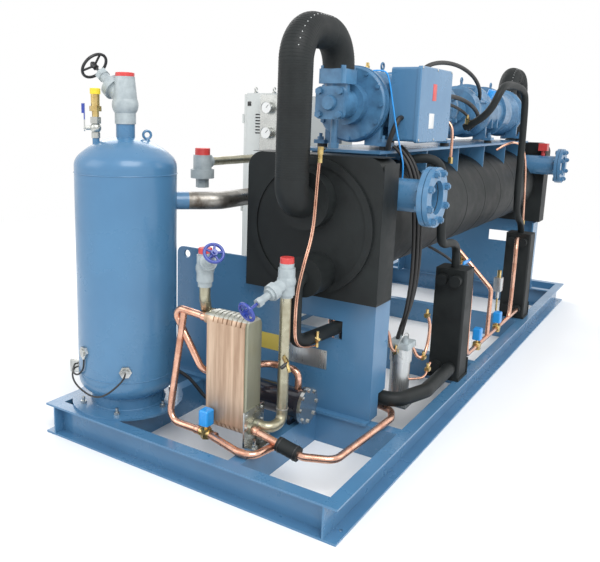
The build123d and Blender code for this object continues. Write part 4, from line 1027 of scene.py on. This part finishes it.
# ------------------------------------------------------------------ right rail
@dataclass
class RailFittings:
    """Copper uprights, valve, transmitter and filter fittings along the right rail, in millimetres."""

    tube: float = 14.0
    filter_tube: float = 9.0
    drain_tube: float = 6.0
    thread: float = 2.0

    def build(self) -> None:
        """Make all of its pieces."""
        hose("near_copper_upright", route((1735, 128, 772), (1790, 110, 790), (1836, 92, 776),
             (1846, 82, 700), (1850, 80, 400), (1856, 80, 262), (1884, 80, 236)), self.tube * MM, COPPER)
        hose("far_copper_upright", route((3176, 128, 772), (3050, 110, 800), (2960, 92, 790),
             (2925, 82, 700), (2915, 80, 400), (2905, 80, 262), (2880, 80, 236)), self.tube * MM, COPPER)
        steel = Piece("economizer_edge_straps")
        for x in (1747, 3327):
            steel.block(at(x, 50, 250), at(x + 3, 80, 420), 0.8 * MM)
            steel.rod(at(x + 2, 65, 400), at(x + 12, 65, 400), 8 * MM, sides=6)
        steel.done(STEEL, Body.SKID, smooth=False)
        lines = Piece("economizer_foam_edges")
        for low, high in ((1590, 1745), (3170, 3325)):
            for x in (low + 12, high - 12):
                lines.rod(at(x, 40.5, 190), at(x, 40.5, 800), self.thread * MM, sides=8)
            lines.rod(at(low + 12, 41, 806), at(high - 12, 41, 806), self.thread * MM, sides=8)
        lines.done(FOAM, Body.SKID)
        valve = Piece("shutoff_valve")
        valve.rod(at(2320, 300, 700), at(2320, 300, 760), 22 * MM, sides=6)
        valve.rod(at(2320, 300, 730), at(2320, 240, 730), 12 * MM)
        valve.done(BRASS, Body.SKID, smooth=False)
        lever = Piece("shutoff_valve_grip")
        lever.block(at(2180, 232, 722), at(2330, 244, 746), 5 * MM)
        lever.done(COIL, Body.SKID)
        sensor = Piece("pressure_transmitter")
        sensor.block(at(2640, 96, 470), at(2700, 150, 570), 5 * MM)
        sensor.rod(at(2670, 122, 470), at(2670, 122, 420), 12 * MM)
        sensor.done(SILVER, Body.SKID)
        union = Piece("transmitter_union")
        union.rod(at(2670, 122, 570), at(2670, 122, 620), 14 * MM, sides=6)
        union.rod(at(2670, 122, 240), at(2670, 122, 430), 6 * MM)
        union.done(BRASS, Body.SKID, smooth=False)
        self.filter()

    def filter(self) -> None:
        """Make the lines and unions round the oil filter."""
        hose("filter_inlet_line", route((1060, 214, 462), (1010, 214, 470), (980, 220, 510), (972, 230, 580),
             (930, 240, 610), (880, 260, 600)), self.filter_tube * MM, COPPER)
        hose("filter_outlet_line", route((1164, 208, 462), (1210, 200, 460), (1236, 190, 430),
             (1250, 170, 380), (1290, 150, 370), (1350, 150, 430), (1370, 150, 560), (1330, 160, 600)),
             self.filter_tube * MM, COPPER)
        hose("filter_drain_line", route((1110, 168, 300), (1150, 120, 300), (1200, 104, 300),
             (1240, 104, 330), (1290, 110, 350)), self.drain_tube * MM, COPPER)
        hose("filter_capillary", route((1100, 180, 500), (1060, 150, 560), (1000, 150, 590), (960, 170, 540),
             (980, 190, 470), (1040, 170, 430)), 2.2 * MM, STEEL)
        unions = Piece("filter_unions")
        for x, y, z in ((1044, 214, 462), (1186, 206, 460), (1290, 150, 372), (1240, 104, 330),
                        (1330, 160, 600)):
            unions.rod(at(x - 16, y, z), at(x + 16, y, z), 15 * MM, sides=6)
            unions.rod(at(x, y, z - 4), at(x, y, z + 34), 8 * MM)
        unions.done(BRASS, Body.SKID, smooth=False)
        head = Piece("filter_head")
        head.block(at(1050, 150, 470), at(1170, 270, 506), 8 * MM)
        head.rod(at(1080, 180, 500), at(1080, 180, 540), 16 * MM)
        head.rod(at(1140, 230, 500), at(1140, 230, 560), 13 * MM)
        head.done(VALVE_GREY, Body.SKID)


# ------------------------------------------------------------------ cooler corner
@dataclass
class CoolerCorner:
    """Plates, weld rings, sleeve ties and tees beside the oil cooler, sizes in millimetres."""

    pipe_ring: float = 27.0
    liquid_ring: float = 25.0
    weld: float = 3.2
    socket: float = 20.5
    socket_half: float = 14.0
    sleeve: float = 34.0
    cable: float = 9.0

    def build(self) -> None:
        """Make all of its pieces."""
        self.plates()
        self.joints()
        self.small_pieces()

    def plates(self) -> None:
        """Make the two bare plates, their rivets and the cooler's front face."""
        yellow = Piece("bare_yellow_plate")
        yellow.block(at(766.6, 752, 424), at(768.3, 864, 512), 0.4 * MM)
        yellow.done(YELLOW, Body.SKID)
        plate = Piece("bare_data_plate")
        plate.block(at(766.4, 470, 386), at(768.3, 690, 486), 0.4 * MM)
        plate.done(SILVER, Body.SKID)
        rivets = Piece("data_plate_rivets")
        for y in (480, 680):
            for z in (394, 478):
                rivets.rod(at(767.5, y, z), at(764.8, y, z), 4 * MM, bevel=0.8 * MM)
        rivets.done(STEEL, Body.SKID)
        front = Piece("brazed_front_face")
        front.block(at(215.8, 600, 236), at(219.5, 797, 716), 0.8 * MM)
        front.done(PLATE_COPPER, Body.SKID)

    def joints(self) -> None:
        """Make the weld rings of the steel pipes and the sockets of the copper ones."""
        rings = Piece("pipe_weld_rings")
        for (x, y, z), axis, radius in (
                ((254, 853, 866), (0, 0, 1), self.pipe_ring), ((405, 506, 842), (0, 0, 1), self.pipe_ring),
                ((303, 836, 719), (0, 1, 0), self.pipe_ring), ((405, 506, 300), (0, 0, 1), self.pipe_ring),
                ((851, 1290, 1385), (1, 0, 0), self.liquid_ring),
                ((303, 561, 235), (0, 1, 0), self.pipe_ring)):
            rings.bead(at(x, y, z), axis, radius * MM, self.weld * MM, steps=36)
        rings.done(WELDED, Body.SKID)
        braze = Piece("copper_sockets")
        for (x, y, z), axis in (((248, 850, 719), (0, 1, 0)), ((248, 545, 232), (0, 1, 0)),
                                ((186, 835, 182), (0, 1, 0)), ((176, 730, 182), (0, 1, 0))):
            side, middle = Vector(axis) * self.socket_half, Vector((x, y, z))
            braze.rod(at(*(middle - side)), at(*(middle + side)), self.socket * MM, bevel=3 * MM)
        braze.done(COPPER, Body.SKID)

    def small_pieces(self) -> None:
        """Make the sleeve's ties, the level cable, the service tee and the bracket's screws."""
        ties = Piece("sleeve_ties")
        for y, z in ((412, 205), (332, 190)):
            ties.bead(at(246.5, y, z), (0, 0.98, 0.19), self.sleeve * MM, 2.5 * MM, steps=40)
        ties.done(BLACK, Body.SKID)
        hose("oil_level_cable", route((430, 1180, 330), (455, 1120, 300), (440, 1040, 260), (400, 960, 240),
             (372, 900, 250), (356, 860, 240), (345, 830, 200)), self.cable * MM, RUBBER)
        tee = Piece("service_tee")
        tee.rod(at(380, 490, 560), at(352, 455, 548), 11 * MM, sides=6)
        tee.rod(at(352, 455, 548), at(330, 430, 520), 8 * MM)
        tee.done(BRASS, Body.SKID, smooth=False)
        tee_cap = Piece("service_tee_cap")
        tee_cap.rod(at(352, 455, 548), at(322, 470, 530), 9 * MM, bevel=2 * MM)
        tee_cap.done(BLACK, Body.SKID)
        screws = Piece("cooler_bracket_screws")
        for x in (212, 340):
            for z in (250, 310):
                screws.rod(at(x, 576, z), at(x, 569, z), 8 * MM, sides=6)
        screws.done(STEEL, Body.SKID, smooth=False)


# ------------------------------------------------------------------ cabinet
@dataclass
class CabinetDressing:
    """Dials, vent, lock, inner plate, switchgear and eyes of the control cabinet, in millimetres."""

    dial: float = 35.0
    bezel: float = 37.0
    gear_rows: tuple[int, ...] = (520, 760, 1020, 1260, 1500)
    gear_columns: int = 6
    gear_start: int = 1760
    gear_pitch: int = 180
    gear_width: int = 120
    gear_height: int = 130

    def build(self) -> None:
        """Make all of its pieces."""
        self.gauges()
        self.outside()
        self.inside()
        self.eyes()

    def gauges(self) -> None:
        """Make the faces, rims and needles of the two gauges."""
        dials = Piece("gauge_dials")
        bezels = Piece("gauge_bezels")
        needles = Piece("gauge_needles")
        for z in (1690, 1530):
            dials.rod(at(1602.4, 1417, z), at(1600.8, 1417, z), self.dial * MM, sides=48)
            bezels.bead(at(1602, 1417, z), (1, 0, 0), self.bezel * MM, 3.2 * MM, steps=48)
            needles.rod(at(1600.2, 1417, z), at(1600.2, 1400, z + 18), 1.6 * MM, sides=8)
        dials.done(DIAL, Body.SKID)
        bezels.done(STEEL, Body.SKID)
        needles.done(BLACK, Body.SKID)

    def outside(self) -> None:
        """Make the dark behind the vent slots and the lock on the side."""
        shadow = Piece("vent_shadow")
        shadow.block(at(1688, 1492, 1512), at(1690, 1560, 1660), 0.3 * MM)
        shadow.done(BLACK, Body.SKID)
        lock = Piece("side_lock")
        lock.block(at(1677, 1588, 1700), at(1682.5, 1614, 1728), 1.5 * MM)
        lock.done(BLACK, Body.SKID)

    def inside(self) -> None:
        """Make the mounting plate and its rows of switchgear, seen with a door open."""
        plate = Piece("mounting_plate")
        plate.block(at(1700, 1417, 300), at(2862, 1420, 1740), 0.8 * MM)
        plate.done(STEEL, Body.SKID)
        gear = Piece("switchgear")
        for row, z in enumerate(self.gear_rows):
            for column in range(self.gear_columns):
                x = self.gear_start + self.gear_pitch * column + 20 * (row % 2)
                gear.block(at(x, 1420, z), at(x + self.gear_width, 1429, z + self.gear_height), 2 * MM)
        gear.done(BLACK, Body.SKID)

    def eyes(self) -> None:
        """Make the lifting eyes on the roof."""
        eyes = Piece("cabinet_lifting_eyes")
        for x in (1740, 2822):
            for y in (1445, 1590):
                eyes.rod(at(x, y, 1780), at(x, y, 1794), 14 * MM)
                eyes.bead(at(x, y, 1808), (0, 1, 0), 13 * MM, 4.5 * MM, steps=28)
        eyes.done(STEEL, Body.SKID)


# ------------------------------------------------------------------ studio
@dataclass
class Studio:
    """Pale floor, white surround, soft lights and the camera, in metres, degrees and watts."""

    eye: tuple[float, float, float] = (-4.5189, -1.8841, 1.649)
    heading: float = 32.899
    dip: float = 11.418
    roll: float = 1.577
    lens: float = 41.32
    shift: tuple[float, float] = (0.0619, -0.0465)
    sensor: float = 36.0
    floor_half: float = 60.0
    floor_gap: float = 0.5 * MM
    floor_shade: float = 0.92
    fade_from: float = 4.2
    fade_to: float = 7.0
    sky: Colour = (0.93, 0.96, 1.0)
    sky_strength: float = 0.85

    def build(self) -> None:
        """Make the floor, the world, the lamps and the camera."""
        self.floor()
        self.world()
        self.lamp("key_light", (-5.0, -4.2, 6.5), (-0.8, -0.2, 0.8), 5.0, 430.0)
        self.lamp("side_light", (3.5, -6.5, 4.5), (0.5, 0.0, 0.9), 5.0, 130.0)
        self.lamp("fill_light", (-6.5, 3.5, 4.0), (-1.0, 0.0, 0.9), 4.0, 90.0)
        self.lamp("back_light", (4.0, 5.5, 5.5), (0.5, 0.0, 1.0), 5.0, 200.0)
        self.camera()
        scene = bpy.context.scene
        scene.view_settings.view_transform = "Standard"

    def floor(self) -> None:
        """Make the pale floor."""
        mesh = bmesh.new()
        bmesh.ops.create_grid(mesh, x_segments=1, y_segments=1, size=self.floor_half)
        data = bpy.data.meshes.new("floor")
        mesh.to_mesh(data)
        mesh.free()
        ground = bpy.data.objects.new("floor", data)
        bpy.context.scene.collection.objects.link(ground)
        ground.location = (0.0, 0.0, -self.floor_gap)
        material = bpy.data.materials.new("studio_floor")
        material.use_nodes = True
        tree = material.node_tree
        shader = tree.nodes["Principled BSDF"]
        shader.inputs["Base Color"].default_value = (*[self.floor_shade] * 3, 1.0)
        shader.inputs["Roughness"].default_value = 0.9
        self.fade(tree, shader)
        data.materials.append(material)

    def fade(self, tree: bpy.types.NodeTree, shader: bpy.types.ShaderNode) -> None:
        """Let the floor run out into the white surround, well away from the unit's shadow.

        Args:
            tree: Nodes of the floor's material.
            shader: Shader of the floor near the unit.
        """
        place = tree.nodes.new("ShaderNodeTexCoord")
        reach = tree.nodes.new("ShaderNodeVectorMath")
        reach.operation = "LENGTH"
        ramp = tree.nodes.new("ShaderNodeMapRange")
        ramp.interpolation_type = "SMOOTHSTEP"
        ramp.inputs["From Min"].default_value = self.fade_from
        ramp.inputs["From Max"].default_value = self.fade_to
        glow = tree.nodes.new("ShaderNodeEmission")
        glow.inputs["Color"].default_value = (1.0, 1.0, 1.0, 1.0)
        glow.inputs["Strength"].default_value = 1.0
        seen = self.seen_rays(tree)
        both = tree.nodes.new("ShaderNodeMath")
        both.operation = "MULTIPLY"
        mix = tree.nodes.new("ShaderNodeMixShader")
        tree.links.new(place.outputs["Object"], reach.inputs[0])
        tree.links.new(reach.outputs["Value"], ramp.inputs["Value"])
        tree.links.new(ramp.outputs["Result"], both.inputs[0])
        tree.links.new(seen, both.inputs[1])
        tree.links.new(both.outputs["Value"], mix.inputs["Fac"])
        tree.links.new(shader.outputs["BSDF"], mix.inputs[1])
        tree.links.new(glow.outputs["Emission"], mix.inputs[2])
        tree.links.new(mix.outputs["Shader"], tree.nodes["Material Output"].inputs["Surface"])

    def seen_rays(self, tree: bpy.types.NodeTree) -> bpy.types.NodeSocket:
        """Mask of the rays that show the surround: camera, glossy and transmission rays.

        Args:
            tree: Node tree that the mask is built in.

        Returns:
            The mask's socket.
        """
        paths = tree.nodes.new("ShaderNodeLightPath")
        mask = paths.outputs["Is Camera Ray"]
        for ray in ("Is Glossy Ray", "Is Transmission Ray"):
            either = tree.nodes.new("ShaderNodeMath")
            either.operation = "MAXIMUM"
            tree.links.new(mask, either.inputs[0])
            tree.links.new(paths.outputs[ray], either.inputs[1])
            mask = either.outputs["Value"]
        return mask

    def world(self) -> None:
        """Set an even pale surround that shows white behind the object."""
        world = bpy.data.worlds.new("studio")
        world.use_nodes = True
        bpy.context.scene.world = world
        tree = world.node_tree
        shade = tree.nodes["Background"]
        shade.inputs["Color"].default_value = (*self.sky, 1.0)
        shade.inputs["Strength"].default_value = self.sky_strength
        seen = tree.nodes.new("ShaderNodeBackground")
        seen.inputs["Color"].default_value = (1.0, 1.0, 1.0, 1.0)
        seen.inputs["Strength"].default_value = 1.0
        mix = tree.nodes.new("ShaderNodeMixShader")
        out = tree.nodes["World Output"]
        tree.links.new(self.seen_rays(tree), mix.inputs["Fac"])
        tree.links.new(shade.outputs["Background"], mix.inputs[1])
        tree.links.new(seen.outputs["Background"], mix.inputs[2])
        tree.links.new(mix.outputs["Shader"], out.inputs["Surface"])

    def lamp(self, name: str, place: Sequence[float], aim: Sequence[float], size: float,
             power: float) -> None:
        """Add a soft square lamp.

        Args:
            name: Lamp name.
            place: Where it hangs.
            aim: What it points at.
            size: Edge length in metres.
            power: Power in watts.
        """
        data = bpy.data.lights.new(name, "AREA")
        data.size = size
        data.energy = power
        lamp = bpy.data.objects.new(name, data)
        lamp.location = place
        direction = Vector(aim) - Vector(place)
        lamp.rotation_euler = direction.to_track_quat("-Z", "Y").to_euler()
        bpy.context.scene.collection.objects.link(lamp)

    def camera(self) -> None:
        """Set the camera at the unit's near right corner."""
        data = bpy.data.cameras.new("camera")
        data.lens = self.lens
        data.sensor_width = self.sensor
        data.shift_x, data.shift_y = self.shift
        data.clip_end = 200.0
        camera = bpy.data.objects.new("camera", data)
        yaw, dip = math.radians(self.heading), math.radians(self.dip)
        ahead = Vector((math.cos(dip) * math.cos(yaw), math.cos(dip) * math.sin(yaw), -math.sin(dip)))
        roll = Matrix.Rotation(math.radians(self.roll), 3, "Z").to_quaternion()
        camera.rotation_euler = (ahead.to_track_quat("-Z", "Y") @ roll).to_euler()
        camera.location = self.eye
        bpy.context.scene.collection.objects.link(camera)
        bpy.context.scene.camera = camera


def main() -> None:
    """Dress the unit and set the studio."""
    logging.basicConfig(level=logging.INFO)
    Studio().build()
    dress_nodes()
    for assembly in (Separator(), SuctionWrap(), CompressorDressing(), EvaporatorDressing(),
                     RailFittings(), CoolerCorner(), CabinetDressing()):
        assembly.build()


if __name__ == "__main__":
    main()
